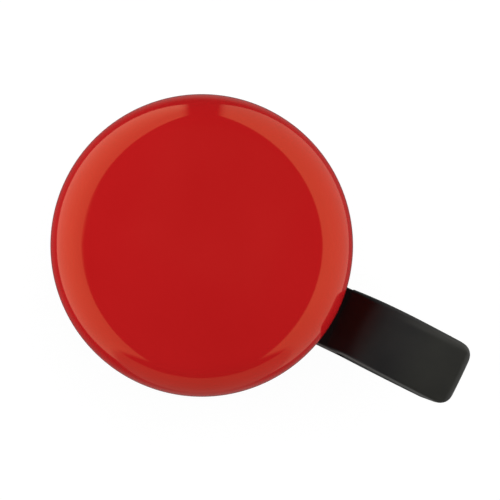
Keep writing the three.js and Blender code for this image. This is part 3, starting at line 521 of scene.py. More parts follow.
def thread_tree():
    """A screw thread: a small triangular ridge on a helix."""
    sizes = {"Radius": "Float", "Pitch": "Float", "Turns": "Float", "Depth": "Float"}
    tree, given = geometry_tree("thread", sizes)
    helix_inputs = {
        "Resolution": 36,
        "Rotations": given["Turns"],
        "Start Radius": given["Radius"] - given["Depth"] / 2,
        "End Radius": given["Radius"] - given["Depth"] / 2,
        "Height": given["Pitch"] * given["Turns"],
    }
    helix = tree.node("GeometryNodeCurveSpiral", None, helix_inputs)
    ridge = tree.node("GeometryNodeCurvePrimitiveCircle", None, {"Resolution": 3, "Radius": given["Depth"]})
    sweep_inputs = {"Curve": helix, "Profile Curve": ridge, "Fill Caps": True}
    return close_tree(tree, given, tree.node("GeometryNodeCurveToMesh", None, sweep_inputs))


def rib_tree():
    """Copies its geometry along an arc about the X axis, each copy turned to face the axis."""
    tree, given = geometry_tree("ribs", {"Count": "Int", "Start": "Float", "Sweep": "Float"})
    number = tree.node("GeometryNodeInputIndex")
    points = tree.node("GeometryNodePoints", None, {"Count": given["Count"]})
    angle = given["Start"] + given["Sweep"] * number / (given["Count"] - 1)
    turn = tree.node("ShaderNodeCombineXYZ", None, {"X": angle})
    spread_inputs = {"Points": points, "Instance": given["Geometry"], "Rotation": turn}
    return close_tree(tree, given, tree.node("GeometryNodeInstanceOnPoints", None, spread_inputs))


LATHE = lathe_tree()
THREAD = thread_tree()
RIBS = rib_tree()


def turned(name, profile, material=None, centre=(0, 0), segments=96, closed=False):
    """A profile in (radius, height) turned round the Z axis through centre."""
    offset = 1.0
    edges = [(i, i + 1) for i in range(len(profile) - 1)] + ([(len(profile) - 1, 0)] if closed else [])
    flat = mesh_piece(name, [(radius - offset, -height, 0) for radius, height in profile], edges=edges)
    made = grown(flat, LATHE, material, Segments=segments, Offset=offset * MM)
    return moved(made, (*centre, 0))


def washer(name, inner, outer, bottom, top, centre=(0, 0), edge=0.12, segments=96):
    corners = [(inner, bottom, edge), (outer, bottom, edge), (outer, top, edge), (inner, top, edge)]
    return turned(name, rounded(corners, 3), centre=centre, segments=segments, closed=True)


def threaded(name, radius, pitch, bottom, top, centre=(0, 0), depth=0.36):
    seed = mesh_piece(name, [])
    turns = (top - bottom) / pitch
    sizes = {"Radius": radius * MM, "Pitch": pitch * MM, "Turns": turns, "Depth": depth * MM}
    return moved(grown(seed, THREAD, None, **sizes), (*centre, bottom))


def finish(piece, node, material=None, body=None, angle=35):
    """Gives a finished piece its material and its body, and hides the CAD node that it stands for."""
    smooth(piece, angle)
    piece.data.materials.clear()
    piece.data.materials.append(material or FINISH[SLOT_OF[node]])
    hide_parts(node)
    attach(piece, body or BODY_OF[node])
    return piece


# ---------------------------------------------------------------- the bell's own places, from its frame


def span(node, axis):
    """A node's lowest and highest place along X, Y or Z, in millimetres."""
    low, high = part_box(node)
    return low[axis] / MM, high[axis] / MM


def middle(node):
    return tuple(sum(span(node, axis)) / 2 for axis in (0, 1))


X, Y, Z = 0, 1, 2
PIVOT = Vector(JOINTS["lever_press"]["pos_m"]) / MM
IDLER = Vector(JOINTS["idler_spin"]["pos_m"]) / MM
BAR_RADIUS = RECORD["mounts"][0]["dims"]["r_mm"]
DOME_RIM, DOME_TOP = span("dome", Z)
DOME_RADIUS = (span("dome", X)[1] - span("dome", X)[0]) / 2


def ring_angle(centre, place):
    return math.atan2(place[1] - centre[1], place[0] - centre[0])


# ---------------------------------------------------------------- dome


def dome_outline(inset, crown=70.0, shoulder=9.0, steps=40):
    """The dome's curve from its pole down to its rim: a flat crown, a round shoulder, a straight side."""
    flat = math.asin((DOME_RADIUS - shoulder) / (crown - shoulder))
    crown_z = DOME_TOP - crown
    shoulder_z = crown_z + (crown - shoulder) * math.cos(flat)
    curve = arc((0, crown_z), crown - inset, math.pi / 2, math.pi / 2 - flat, steps)
    curve += arc((DOME_RADIUS - shoulder, shoulder_z), shoulder - inset, math.pi / 2 - flat, 0, steps)[1:]
    side = [(DOME_RADIUS - inset, shoulder_z + (DOME_RIM + 0.9 - shoulder_z) * i / 6) for i in range(1, 7)]
    return [(0.0, curve[0][1])] + curve[1:] + side


def dome_profile(wall=1.0, roll=0.42):
    """Outside and inside joined by a rim whose edges are rounded."""
    outside = dome_outline(0)
    inside = dome_outline(wall)
    rim = arc((DOME_RADIUS - roll, DOME_RIM + roll), roll, 0, -math.pi / 2, 8)
    rim += arc((DOME_RADIUS - wall + roll, DOME_RIM + roll), roll, -math.pi / 2, -math.pi, 8)
    return outside + rim + inside[::-1]


def strike_stud(turn, height):
    """A short peg inside the dome for the strikers to hit."""
    bore = DOME_RADIUS - 1.0
    profile = [(0, -1.3), (1.25, -1.3)] + arc((1.25, -0.95), 0.35, -math.pi / 2, 0, 4)
    profile += [(1.9, -0.25)] + arc((2.35, -0.25), 0.35, math.pi, math.pi / 2, 4) + [(2.0, 0.35), (0, 0.35)]
    stud = turned("stud", profile, segments=40)
    stand = Matrix.Rotation(math.pi / 2, 4, "Y")
    place = Matrix.Rotation(turn, 4, "Z") @ Matrix.Translation(Vector((bore, 0, height)) * MM)
    stud.data.transform(place @ stand)
    return stud


def make_dome():
    bell = turned("dome_shell", dome_profile(), segments=320)
    height = 26.05
    studs = [strike_stud(LEVER_TURN + turn, height) for turn in (0, math.pi)]
    finish(combined("lacquered_dome", bell, *studs), "dome", angle=50)


def make_dome_boss():
    low = span("dome_boss", Z)[0]
    crown, under = 70.0, 1.15
    crown_z = DOME_TOP - crown
    flange = arc((0, crown_z), crown - under, math.pi / 2 - 7.3 / 68.9, math.pi / 2, 12)
    profile = [(0, 37.05), (2.2, 37.05), (2.2, low + 0.35), (2.5, low)]
    profile += rounded([(2.5, low, 0), (4.2, low, 0.4), (4.2, 36.55, 0.5), (7.5, 36.55, 0.25)], 4, False)[1:]
    profile += rounded([(7.5, 36.55, 0.1), (7.5, flange[0][1], 0.3), (0, 40.0, 0)], 3, False)[1:2] + flange
    profile[-1] = (0, profile[-1][1])
    boss = turned("dome_boss_bush", profile)
    finish(boss, "dome_boss")


# ---------------------------------------------------------------- thumb lever

PAD_NEAR, PAD_FAR = 28.6, 53.6  # along the lever, from the dome's axis
PAD_MIDDLE = -1.1  # across the lever
PAD_HALF = 6.3
LEVER_LOW, LEVER_HIGH = 17.2, 19.4  # the arm's faces


def pad_crest(along):
    """The pad's upper face along its middle: a quick climb, a level stretch and a slight droop."""
    share = (along - PAD_NEAR) / (PAD_FAR - PAD_NEAR)
    return LEVER_HIGH + 0.06 + 4.4 * (1 - math.exp(-((share / 0.27) ** 1.5))) - 1.1 * share**3


def pad_sides(along):
    """Half widths on the two sides: nearly parallel, with round corners, a fuller one at the far end."""
    share = (along - PAD_NEAR) / (PAD_FAR - PAD_NEAR)

    def corner(distance, radius):
        lack = max(0.0, radius - distance)
        return radius - math.sqrt(max(0.0, radius**2 - lack**2))

    waist = max(0.0, 1 - share / 0.35) ** 2
    upper = PAD_HALF - 0.36 * waist - max(0.0, share - 0.45) ** 1.3
    upper -= corner(along - PAD_NEAR, 0.5) + corner(PAD_FAR - along, 2.4)
    sweep = max(0.0, 1 - (PAD_FAR - along) / 4.4)
    lower = PAD_HALF - 0.02 * waist + 0.44 * share + 0.1 * math.sin(math.pi * share)
    lower -= 0.8 * sweep**2 * (3 - 2 * sweep)
    lower -= corner(along - PAD_NEAR, 0.3) + corner(PAD_FAR - along, 2.0)
    return upper, lower


def pad_section(along, inset=0.0):
    """Points round one cross-section: (across, height), from the lower skirt edge over the top."""
    upper, lower = pad_sides(along)
    upper, lower = upper - inset, lower - inset
    crest = pad_crest(along) - inset
    share = (along - PAD_NEAR) / (PAD_FAR - PAD_NEAR)
    near_rise = max(0.0, 1 - (along - PAD_NEAR) / 2.6) ** 2 * 2.0
    far_rise = max(0.0, 1 - (PAD_FAR - along) / 2.0) ** 2 * 1.8
    skirt = LEVER_LOW - 2.4 + near_rise + far_rise
    crest -= 0.75 * max(0.0, 1 - (PAD_FAR - along) / 1.1) ** 2
    edge = 0.3 + 0.6 * min(1.0, share / 0.15)
    crown = 0.32 * min(1.0, share / 0.2)
    side = []
    for hand, half, draft in ((-1, lower, 0.4 * (1 - max(0.0, share - 0.7) / 0.3)), (1, upper, 0.12)):
        top_half = half - draft
        round_over = arc((top_half - edge, crest - crown - edge), edge, 0, math.pi / 2, 7)
        flank = [(half - 0.12, skirt), (half, skirt + 0.14), ((half + top_half) / 2, (skirt + crest) / 2)]
        points = [(PAD_MIDDLE + hand * x, z) for x, z in flank + round_over]
        side.append(points)
    left, right = side[0], side[1][::-1]
    start, end = left[-1], right[0]
    top = []
    for i in range(1, 12):
        t = i / 12
        x = start[0] + (end[0] - start[0]) * t
        top.append((x, start[1] + (end[1] - start[1]) * t + crown * (1 - (2 * t - 1) ** 2)))
    return left + top + right


def lever_point(along, across, height):
    return ALONG * along + ACROSS * across + Vector((0, 0, height))


def lofted(name, sections):
    """A closed skin over cross-sections that all have the same number of points."""
    count = len(sections[0])
    vertices = [point for section in sections for point in section]
    faces = []
    for i in range(len(sections) - 1):
        for j in range(count):
            after = (j + 1) % count
            faces.append((i * count + j, i * count + after, (i + 1) * count + after, (i + 1) * count + j))
    faces.append(tuple(range(count)))
    faces.append(tuple(range((len(sections) - 1) * count, len(sections) * count))[::-1])
    return mesh_piece(name, vertices, faces)


def pad_stations():
    """Places along the pad, closer together where its ends curve."""
    ends = [0, 0.05, 0.12, 0.22, 0.35, 0.5, 0.7, 0.95, 1.25, 1.6, 2.0, 2.5]
    inner = [3.2 + i * 0.9 for i in range(20)]
    near = [PAD_NEAR + 0.02 + end for end in ends]
    far = [PAD_FAR - 0.02 - end for end in reversed(ends)]
    return near + [PAD_NEAR + place for place in inner if PAD_NEAR + place < far[0] - 0.4] + far


def make_pad():
    """The thumb pad: a crowned shell, hollow below, with a rib along it and ribs across it."""
    skin = [[lever_point(s, x, z) for x, z in pad_section(s)] for s in pad_stations()]
    pad = settled(lofted("pad", skin))
    pockets = []
    start, end = PAD_NEAR + 4.4, PAD_FAR - 3.0
    bays = 3
    length = (end - start) / bays
    for bay in range(bays):
        for hand in (-1, 1):
            low, high = start + bay * length, start + (bay + 1) * length - 0.9
            inner, outer = PAD_MIDDLE + hand * 0.6, PAD_MIDDLE + hand * 4.4
            corners = [(low, min(inner, outer)), (high, min(inner, outer)), (high, max(inner, outer))]
            corners.append((low, max(inner, outer)))
            outline = rounded([(x, y, 0.5) for x, y in corners], 4)
            roof = min(pad_crest(low), pad_crest(high)) - 1.9
            pocket = plate("pocket", [outline], 13.8, roof, edge=0.3)
            pocket.data.transform(Matrix.Rotation(LEVER_TURN, 4, "Z"))
            pockets.append(pocket)
    return boolean(pad, "DIFFERENCE", *pockets)


def involute_tooth(teeth, module=0.7, pressure=math.radians(24), share=0.43, tip=0.8, root=1.1, steps=7):
    """One tooth round angle 0, its flanks involutes and its tip corners eased."""
    pitch = teeth * module / 2
    base = pitch * math.cos(pressure)
    low, high = pitch - root * module, pitch + tip * module
    half = math.pi * share / teeth + math.tan(pressure) - pressure

    def flank(radius):
        slope = math.acos(min(1.0, base / max(radius, base)))
        return half - (math.tan(slope) - slope)

    start = max(low + 0.01, min(base, pitch))
    radii = [low] + [start + (high - 0.06 - start) * i / (steps - 1) for i in range(steps)]
    falling = [(radius, flank(radius)) for radius in reversed(radii)]
    tip_corner = flank(high - 0.06) - 0.05 / high
    right = [(radius, -flank(radius)) for radius in radii] + [(high, -tip_corner)]
    points = right + [(high, tip_corner)] + falling
    return [(r * math.cos(a), r * math.sin(a)) for r, a in points]


def toothed(teeth, turn, first=0, count=None):
    outline = []
    for i in range(first, first + (count or teeth)):
        angle = turn + 2 * math.pi * i / teeth
        c, s = math.cos(angle), math.sin(angle)
        outline += [(x * c - y * s, x * s + y * c) for x, y in involute_tooth(teeth)]
    return outline


def make_lever_arm():
    """The flat arm, its geared sector and its hub, drawn about the pivot with +X along the lever."""
    offset = PAD_MIDDLE - 4.0
    far = PAD_NEAR + 4.0 - 12.0
    near = far - 9.0
    to_idler = ring_angle(PIVOT, IDLER) - LEVER_TURN
    hub = 4.3
    arm = [
        (-hub * math.cos(math.pi / 6), -hub * 0.5, 0.8),
        (near, offset - 5.8, 3.0),
        (12.9, offset - 5.8, 1.0),
        (14.4, offset - 6.3, 1.0),
        (far, offset - 6.3, 0),
        (far, offset + 5.8, 0),
        (near, offset + 5.8, 3.0),
        (0, hub, 0.8),
    ]
    arm = plate("arm", [rounded(arm, 8)], LEVER_LOW, LEVER_HIGH, edge=0.25)
    hub_disc = plate("hub", [circle(hub)], LEVER_LOW, LEVER_HIGH, edge=0.25)
    sector = plate("sector", [[(0, 0)] + toothed(36, to_idler, -4, 5)], LEVER_LOW, LEVER_HIGH, edge=0.06)
    boss = turned("boss", [(0, 18.0), (3.2, 18.0), (3.2, 19.35)] + rounded(
        [(3.2, 19.4, 0), (2.6, 19.4, 0.3), (2.6, 22.55, 0.2), (0, 22.55, 0)], 4, False)[1:])
    angle = math.radians(-50)
    peg_at = (6.5 * math.cos(angle), 6.5 * math.sin(angle))
    peg_profile = [(0, 18.0)] + rounded([(1.0, 18.0, 0), (1.0, 22.55, 0.35), (0, 22.55, 0)], 5, False)
    peg = turned("peg", peg_profile, centre=peg_at, segments=40)
    whole = boolean(arm, "UNION", hub_disc, sector, boss, peg)
    bore = turned("bore", [(0, 16), (1.65, 16), (1.65, 24), (0, 24)], segments=48)
    whole = boolean(whole, "DIFFERENCE", bore)
    turn = Matrix.Translation(Vector((PIVOT.x, PIVOT.y, 0)) * MM) @ Matrix.Rotation(LEVER_TURN, 4, "Z")
    whole.data.transform(turn)
    return whole


def make_lever():
    whole = boolean(make_pad(), "UNION", make_lever_arm())
    whole.name = "thumb_lever_moulding"
    finish(whole, "thumb_lever", LEVER_FINISH, angle=32)


# ---------------------------------------------------------------- base plate


def make_base():
    """A pressed-looking moulded pan: lip below, wall above with the lever's slot, ribs and a spring peg."""
    wall, wall_top, floor, seat = 24.6, 21.6, 16.9, 15.4
    section = [
        (0, seat, 0),
        (24.3, seat, 0.3),
        (24.3, 14.1, 0.3),
        (25.6, 14.1, 0.5),
        (25.6, floor, 0.5),
        (wall, floor, 0.15),
        (wall, wall_top, 0.35),
        (23.4, wall_top, 0.35),
        (23.4, floor, 0.4),
        (0, floor, 0),
    ]
    pan = turned("pan", rounded(section, 5, False), segments=192)
    low, high = math.radians(-17.95), math.radians(28.8)
    reach = 29.0
    slot_outline = [(18 * math.cos(low), 18 * math.sin(low))]
    slot_outline += arc((0, 0), reach, low, high, 12) + [(18 * math.cos(high), 18 * math.sin(high))]
    slot = plate("slot", [slot_outline], floor + 0.001, 24, edge=0.0, steps=0)
    slot.data.transform(Matrix.Rotation(LEVER_TURN, 4, "Z"))
    pan = boolean(pan, "DIFFERENCE", slot)
    ribs = []
    for i in range(9):
        angle = high + LEVER_TURN + math.radians(24 + i * 32.5)
        corners = [(14.5, -0.5, 0.4), (23.6, -0.5, 0), (23.6, 0.5, 0), (14.5, 0.5, 0.4)]
        rib = plate("rib", [rounded(corners)], floor - 0.4, floor + 0.25, edge=0.1)
        rib.data.transform(Matrix.Rotation(angle, 4, "Z"))
        ribs.append(rib)
    angle = LEVER_TURN + math.radians(250)
    peg_at = (PIVOT.x + 8 * math.cos(angle), PIVOT.y + 8 * math.sin(angle))
    peg_profile = [(0, 16.0)] + rounded([(1.0, 16.0, 0), (1.0, 21.0, 0.35), (0, 21.0, 0)], 5, False)
    pan = boolean(pan, "UNION", turned("peg", peg_profile, centre=peg_at, segments=40), *ribs)
    holes = [
        turned("hole", [(0, 12), (radius, 12), (radius, 19), (0, 19)], centre=at, segments=48)
        for radius, at in ((2.2, (0, 0)), (1.7, (PIVOT.x, PIVOT.y)), (1.4, (IDLER.x, IDLER.y)))
    ]
    pan = boolean(pan, "DIFFERENCE", *holes)
    pan.name = "base_moulding"
    finish(pan, "base_plate", angle=32)


# ---------------------------------------------------------------- post, nuts and washers


def hexagon(name, sides, across, bottom, top, bore, centre=(0, 0), turn=0.0):
    """A nut: chamfered all round at both faces, with a countersunk bore."""
    corner = across / 2 / math.cos(math.pi / sides)
    points = [
        (corner * math.cos(turn + 2 * math.pi * (i + 0.5) / sides),
         corner * math.sin(turn + 2 * math.pi * (i + 0.5) / sides))
        for i in range(sides)
    ]
    prism = plate("prism", [points], bottom, top, edge=0.08, steps=1)
    chamfer = 0.35 if sides == 6 else 0.2
    face = across / 2 * (0.98 if sides == 6 else 1.28)
    drop = (corner + 0.3 - face) * (0.577 if sides == 6 else 0.5)
    cone = turned("cone", [(0, bottom - 0.01), (face, bottom - 0.01), (corner + 0.3, bottom - 0.01 + drop),
                           (corner + 0.3, top + 0.01 - drop), (face, top + 0.01),
                            (0, top + 0.01)], segments=96)
    body = boolean(prism, "INTERSECT", cone)
    hole = turned("hole", [(0, bottom - 1), (bore + 1 + chamfer, bottom - 1), (bore, bottom + chamfer),
                           (bore, top - chamfer), (bore + 1 + chamfer, top + 1), (0, top + 1)], segments=64)
    body = boolean(body, "DIFFERENCE", hole)
    body.name = name
    return moved(body, (*centre, 0))


def make_post():
    head, top = span("centre_post", Z)
    corners = [(0, head, 0), (3.4, head, 0.15), (3.4, head + 0.4, 0.1), (2.0, head + 1.8, 0.1)]
    profile = rounded(corners, 3, False)
    profile += rounded([(2.0, 16.9, 0.1), (3.2, 16.9, 0.1), (3.2, 19.55, 0.2), (2.0, 19.55, 0.1)], 3, False)
    profile += [(2.0, 27.0), (1.83, 27.3), (1.83, top - 0.35), (1.45, top), (0, top)]
    shank = turned("shank", profile)
    thread = threaded("thread", 2.0, 0.7, 27.3, top - 0.45, depth=0.2)
    finish(combined("centre_post_shank", shank, thread), "centre_post", angle=30)


def make_post_stack():
    finish(washer("post_washer", 2.2, 4.2, *span("rotor_washer", Z)), "rotor_washer")
    low, high = span("post_nut", Z)
    finish(hexagon("post_hex_nut", 6, 7.0, low, high, 2.15, turn=LEVER_TURN), "post_nut", angle=25)
    finish(washer("fibre_washer", 2.2, 4.2, *span("seat_washer", Z)), "seat_washer")


def make_rivets():
    for node, radius, foot, head in (("lever_pivot", 1.5, 2.7, 3.2), ("idler_axle", 1.2, 2.3, None)):
        low, high = span(node, Z)
        outline = [(0, low, 0), (foot - 0.1, low, 0.5), (foot, 15.4, 0.05), (radius, 15.4, 0.02)]
        if head:
            outline += [(radius, high - 0.7, 0.02), (head, high - 0.7, 0.12)]
            outline += [(head - 0.1, high, 0.4), (0, high, 0)]
        else:
            outline += [(radius, high, 0.3), (0, high, 0)]
        finish(turned(node + "_rivet", rounded(outline, 5, False), centre=middle(node), segments=64), node)
    low, high = span("lever_washer", Z)
    finish(washer("pivot_washer", 1.65, 3.7, low, high, centre=PIVOT[:2], edge=0.1), "lever_washer")


def make_clip():
    """A spring clip on the idler's axle: a ring open at one side, with three tabs reaching in to grip the
    axle.
    """
    low, high = span("idler_clip", Z)
    gap = math.radians(28)
    outer = arc((0, 0), 2.7, gap, 2 * math.pi - gap, 60)
    inner = arc((0, 0), 1.95, 2 * math.pi - gap * 1.5, gap * 1.5, 60)
    grips = []
    for turn in (math.pi / 2, math.pi, 3 * math.pi / 2):
        grips.append([(1.29 * math.cos(turn), 1.29 * math.sin(turn)), turn])
    body = plate("clip", [outer + inner], low, high, edge=0.06, steps=2)
    tabs = []
    for _, turn in grips:
        corners = [(1.3, -0.5, 0.15), (2.2, -0.6, 0), (2.2, 0.6, 0), (1.3, 0.5, 0.15)]
        tab = plate("tab", [rounded(corners)], low, high, 0.06)
        tab.data.transform(Matrix.Rotation(turn, 4, "Z"))
        tabs.append(tab)
    clip = moved(boolean(body, "UNION", *tabs), (IDLER.x, IDLER.y, 0), math.radians(200))
    clip.name = "axle_spring_clip"
    finish(clip, "idler_clip", angle=30)


# ---------------------------------------------------------------- return spring


def make_spring():
    """A torsion spring round the lever's boss, each leg leaving the coil on a tangent past its peg."""
    coil, radius, pitch = 3.25, 0.3, 0.8
    clear = 1.0 + radius + 0.1
    lower_reach, upper_reach = 8.0, 6.5
    start = math.radians(250) + math.acos((coil + clear) / lower_reach)
    wound = math.radians(-50) - math.acos((coil + clear) / upper_reach) - start + 8 * math.pi
    bottom = 19.8

    def on_coil(turn):
        angle = start + turn
        return Vector((coil * math.cos(angle), coil * math.sin(angle), bottom + pitch * turn / (2 * math.pi)))

    def leg(turn, length):
        angle = start + turn + math.pi / 2
        return on_coil(turn) + Vector((length * math.cos(angle), length * math.sin(angle), 0))

    lower = math.sqrt(lower_reach**2 - (coil + clear) ** 2) + 1.5
    upper = math.sqrt(upper_reach**2 - (coil + clear) ** 2) + 1.5
    steps = 150
    points = [leg(0, -lower * i / 6) for i in range(6, 0, -1)]
    points += [on_coil(wound * i / steps) for i in range(steps + 1)]
    points += [leg(wound, upper * i / 6) for i in range(1, 7)]
    spring = wire("lever_spring_wire", points, radius - 0.01, sides=12)
    place = Matrix.Translation(Vector((PIVOT.x, PIVOT.y, 0)) * MM) @ Matrix.Rotation(LEVER_TURN, 4, "Z")
    spring.data.transform(place)
    smooth(spring, 50)
    spring.data.materials.clear()
    spring.data.materials.append(FINISH["spring_steel"])
    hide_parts("return_spring")
    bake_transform(spring)


# ---------------------------------------------------------------- gears and rotor


def make_idler():
    """One moulding: a small pinion below a lightened wheel with a raised hub and rim."""
    idler_angle = math.atan2(IDLER.y, IDLER.x)
    pinion_turn = ring_angle(PIVOT, IDLER) + math.pi + math.pi / 8
    low, high = span("idler_gear", Z)
    wheel_low = high - 1.6
    pinion = plate("pinion", [toothed(8, pinion_turn)], low, wheel_low + 0.3, edge=0.05)
    wheel = plate("wheel", [toothed(26, idler_angle + math.pi)], wheel_low, high, edge=0.05)
    dish_profile = [(3.9, high + 1, 0), (3.9, high - 0.4, 0.25), (7.0, high - 0.4, 0.25), (7.0, high + 1, 0)]
    dish = turned("dish", rounded(dish_profile, 4), closed=True, segments=96)
    holes = []
    for i in range(5):
        angle = idler_angle + 2 * math.pi * (i + 0.25) / 5
        at = (5.45 * math.cos(angle), 5.45 * math.sin(angle))
        hole = [(0, wheel_low - 1), (1.05, wheel_low - 1), (1.05, high + 1), (0, high + 1)]
        holes.append(turned("hole", hole,
                            centre=at, segments=36))
    bore = turned("bore", [(0, low - 1), (1.35, low - 1), (1.35, high + 1), (0, high + 1)], segments=48)
    gear = boolean(boolean(wheel, "UNION", pinion), "DIFFERENCE", dish, bore, *holes)
    gear.name = "idler_moulding"
    finish(moved(gear, (IDLER.x, IDLER.y, 0)), "idler_gear", angle=28)


def make_rotor_hub():
    low, high = span("rotor_hub", Z)
    turn = math.atan2(IDLER.y, IDLER.x) + math.pi / 12
    pinion = plate("pinion", [toothed(12, turn)], low, 21.9, edge=0.05)
    collar = [(0, 21.75, 0), (4.6, 21.75, 0.2), (4.6, 24.1, 0.25)]
    collar += [(3.0, 24.1, 0.05), (3.0, high, 0.2), (0, high, 0)]
    body = boolean(pinion, "UNION", turned("collar", rounded(collar, 4, False)))
    bore_profile = [(0, low - 1), (2.15, low - 1), (2.15, high - 0.2)]
    bore_profile += [(2.4, high + 0.05), (2.4, high + 1), (0, high + 1)]
    body = boolean(body, "DIFFERENCE", turned("bore", bore_profile, segments=64))
    body.name = "rotor_hub_moulding"
    finish(body, "rotor_hub", angle=28)


def rotor_line():
    return ring_angle((0, 0), middle("striker_a"))


def make_rotor_arm():
    """A pressed steel strip, waisted round the hub, with an embossed rib along each half."""
    reach = math.hypot(*middle("striker_a"))
    low, high = span("rotor_arm", Z)
    half, waist = 4.0, 6.4
    outline = arc((reach, 0), half, -math.pi / 2, math.pi / 2, 24)
    outline += arc((0, 0), waist, math.pi / 4, 3 * math.pi / 4, 20)
    outline += arc((-reach, 0), half, math.pi / 2, 3 * math.pi / 2, 24)
    outline += arc((0, 0), waist, 5 * math.pi / 4, 7 * math.pi / 4, 20)
    holes = [circle(3.02), circle(1.62, (reach, 0)), circle(1.62, (-reach, 0))]
    strip = plate("strip", [outline] + holes, low, high, edge=0.12)
    ribs = []
    for side in (-1, 1):
        start, end = side * 6.6, side * (reach - 7.2)
        corners = rectangle(start, -0.9, end, 0.9, 0.85)
        ribs.append(plate("rib", [rounded(corners, 8)], high - 0.3, high + 0.22, edge=0.15, steps=3))
    arm = boolean(strip, "UNION", *ribs)
    arm.data.transform(Matrix.Rotation(rotor_line(), 4, "Z"))
    arm.name = "rotor_strip"
    finish(arm, "rotor_arm", angle=30)


def make_strikers():
    for hand in ("a", "b"):
        node = "striker_" + hand
        low, high = span(node, Z)
        loose = washer(node + "_washer", 2.9, 5.5, low, high, centre=middle(node), edge=0.32, segments=128)
        finish(loose, node)
        pin = "striker_pin_" + hand
        bottom, top = span(pin, Z)
        outline = [(0, bottom, 0), (1.6, bottom, 0.1), (1.6, 27.3, 0.05), (3.9, 27.3, 0.12)]
        outline += [(3.85, top - 0.1, 0.3), (1.9, top, 0.3), (0, top, 0)]
        finish(turned(pin + "_rivet", rounded(outline, 5, False), centre=middle(node), segments=96), pin)


# ---------------------------------------------------------------- handlebar clamp


def bar_stock(name, outline, width, edge=0.25, steps=2):
    """An outline in Y and Z, as wide as given along the handlebar, with rounded edges."""
    piece = plate(name, [outline], -width / 2, width / 2, edge, steps)
    piece.data.transform(Matrix(((0, 0, 1, 0), (1, 0, 0, 0), (0, 1, 0, 0), (0, 0, 0, 1))))
    return piece


def ear_plan(width, reach, radius, low, high):
    corners = rectangle(-width / 2, -reach, width / 2, reach, radius)
    return plate("plan", [rounded(corners, 10)], low, high, edge=0.0, steps=0)


def make_saddle():
    """The clamp's upper half: a half ring with a flat seat, two ears, and ribs between ear and ring."""
    outer, bore, reach = 14.8, 12.4, 23.2
    low, high, seat = 1.1, 5.3, 15.4
    side = math.acos(7.5 / outer)
    ear = math.asin(high / outer)
    outline = [(reach, low), (reach, high)]
    outline += arc((0, 0), outer, ear + 0.02, side, 20) + [(7.5, seat), (-7.5, seat)]
    outline += arc((0, 0), outer, math.pi - side, math.pi - ear - 0.02, 20) + [(-reach, high), (-reach, low)]
    outline += arc((0, 0), bore, math.pi - math.asin(low / bore), math.asin(low / bore), 40)
    body = bar_stock("saddle", outline, 16.0, edge=0.3)
    body = boolean(body, "INTERSECT", ear_plan(15.999, reach - 0.001, 6.0, 0, 17))
    webs = []
    for hand in (-1, 1):
        for place in (-6.6, 6.6):
            outline = [(hand * 13.6, high - 0.5), (hand * 17.6, high - 0.5)]
            outline += [(hand * 17.2, high + 0.35), (hand * 13.7, high + 2.4)]
            web = bar_stock("web", outline, 1.2, edge=0.15)
            web.data.transform(Matrix.Translation((place * MM, 0, 0)))
            webs.append(web)
    body = boolean(body, "UNION", *webs)
    tools = []
    for hand in (-1, 1):
        at = hand * 17.8
        pocket = rounded(rectangle(-3.65, at - 3.65, 3.65, at + 3.65, 0.3), 4)
        tools.append(plate("pocket", [pocket], 2.6, 12, edge=0.0, steps=0))
        tools.append(turned("hole", [(0, 0), (2.2, 0), (2.2, 4), (0, 4)], centre=(0, at), segments=48))
    sink = [(0, 10), (3.7, 10), (3.7, 13.1), (2.2, 14.6), (2.2, 18), (0, 18)]
    tools.append(turned("sink", sink, segments=64))
    body = boolean(body, "DIFFERENCE", *tools)
    body.name = "saddle_moulding"
    finish(body, "clamp_saddle", angle=32)


def make_strap():
    """The clamp's lower half: one bent strip of steel with a shallow bead on each side of the bar."""
    bore, outer, reach = 12.4, 13.9, 22.8
    top, low = -1.1, -2.6
    start = -math.asin(1.1 / bore)
    bend = -math.asin(2.6 / outer)
    outline = [(reach, low), (reach, top)]
    outline += arc((0, 0), bore, start, -math.pi - start, 80)
    outline += [(-reach, top), (-reach, low)]
    outline += arc((0, 0), outer, -math.pi - bend, bend, 80)
    body = bar_stock("strap", outline, 12.4, edge=0.3)
    body = boolean(body, "INTERSECT", ear_plan(12.399, reach - 0.001, 5.6, -16, 0))
    hole = [(0, -4), (2.2, -4), (2.2, 0), (0, 0)]
    holes = [turned("hole", hole, centre=(0, y), segments=48) for y in (-17.8, 17.8)]
    beads = []
    for place in (-3.4, 3.4):
        path = [(place, (outer + 0.02) * math.cos(a), (outer + 0.02) * math.sin(a))
                for a in [math.radians(-160 + 140 * i / 60) for i in range(61)]]
        beads.append(wire("bead", path, 0.3))
    body = boolean(body, "DIFFERENCE", *holes, *beads)
    body.name = "steel_strap"
    finish(body, "clamp_strap", angle=32)


def make_liner(node, side, width):
    """A half sleeve of rubber whose inner face carries fine ribs along the handlebar."""
    start = math.asin(1.4 / BAR_RADIUS)
    inner, outer = BAR_RADIUS + 0.22, BAR_RADIUS + 1.0
    outline = arc((0, 0), outer, side * start, side * (math.pi - start), 80)
    outline += arc((0, 0), inner, side * (math.pi - start), side * start, 80)
    sleeve = bar_stock("sleeve", outline, width, edge=0.12)
    count = 36
    section = [(inner + 0.12, -0.2), (inner - 0.16, -0.1), (inner - 0.16, 0.1), (inner + 0.12, 0.2)]
    seed = bar_stock("rib", section,
                     width - 0.8, edge=0.05, steps=1)
    first = side * (start + 0.04)
    sweep = side * (math.pi - 2 * start - 0.08)
    ribs = grown(seed, RIBS, None, Count=count, Start=first, Sweep=sweep)
    finish(combined(node + "_sleeve", sleeve, ribs), node, angle=40)


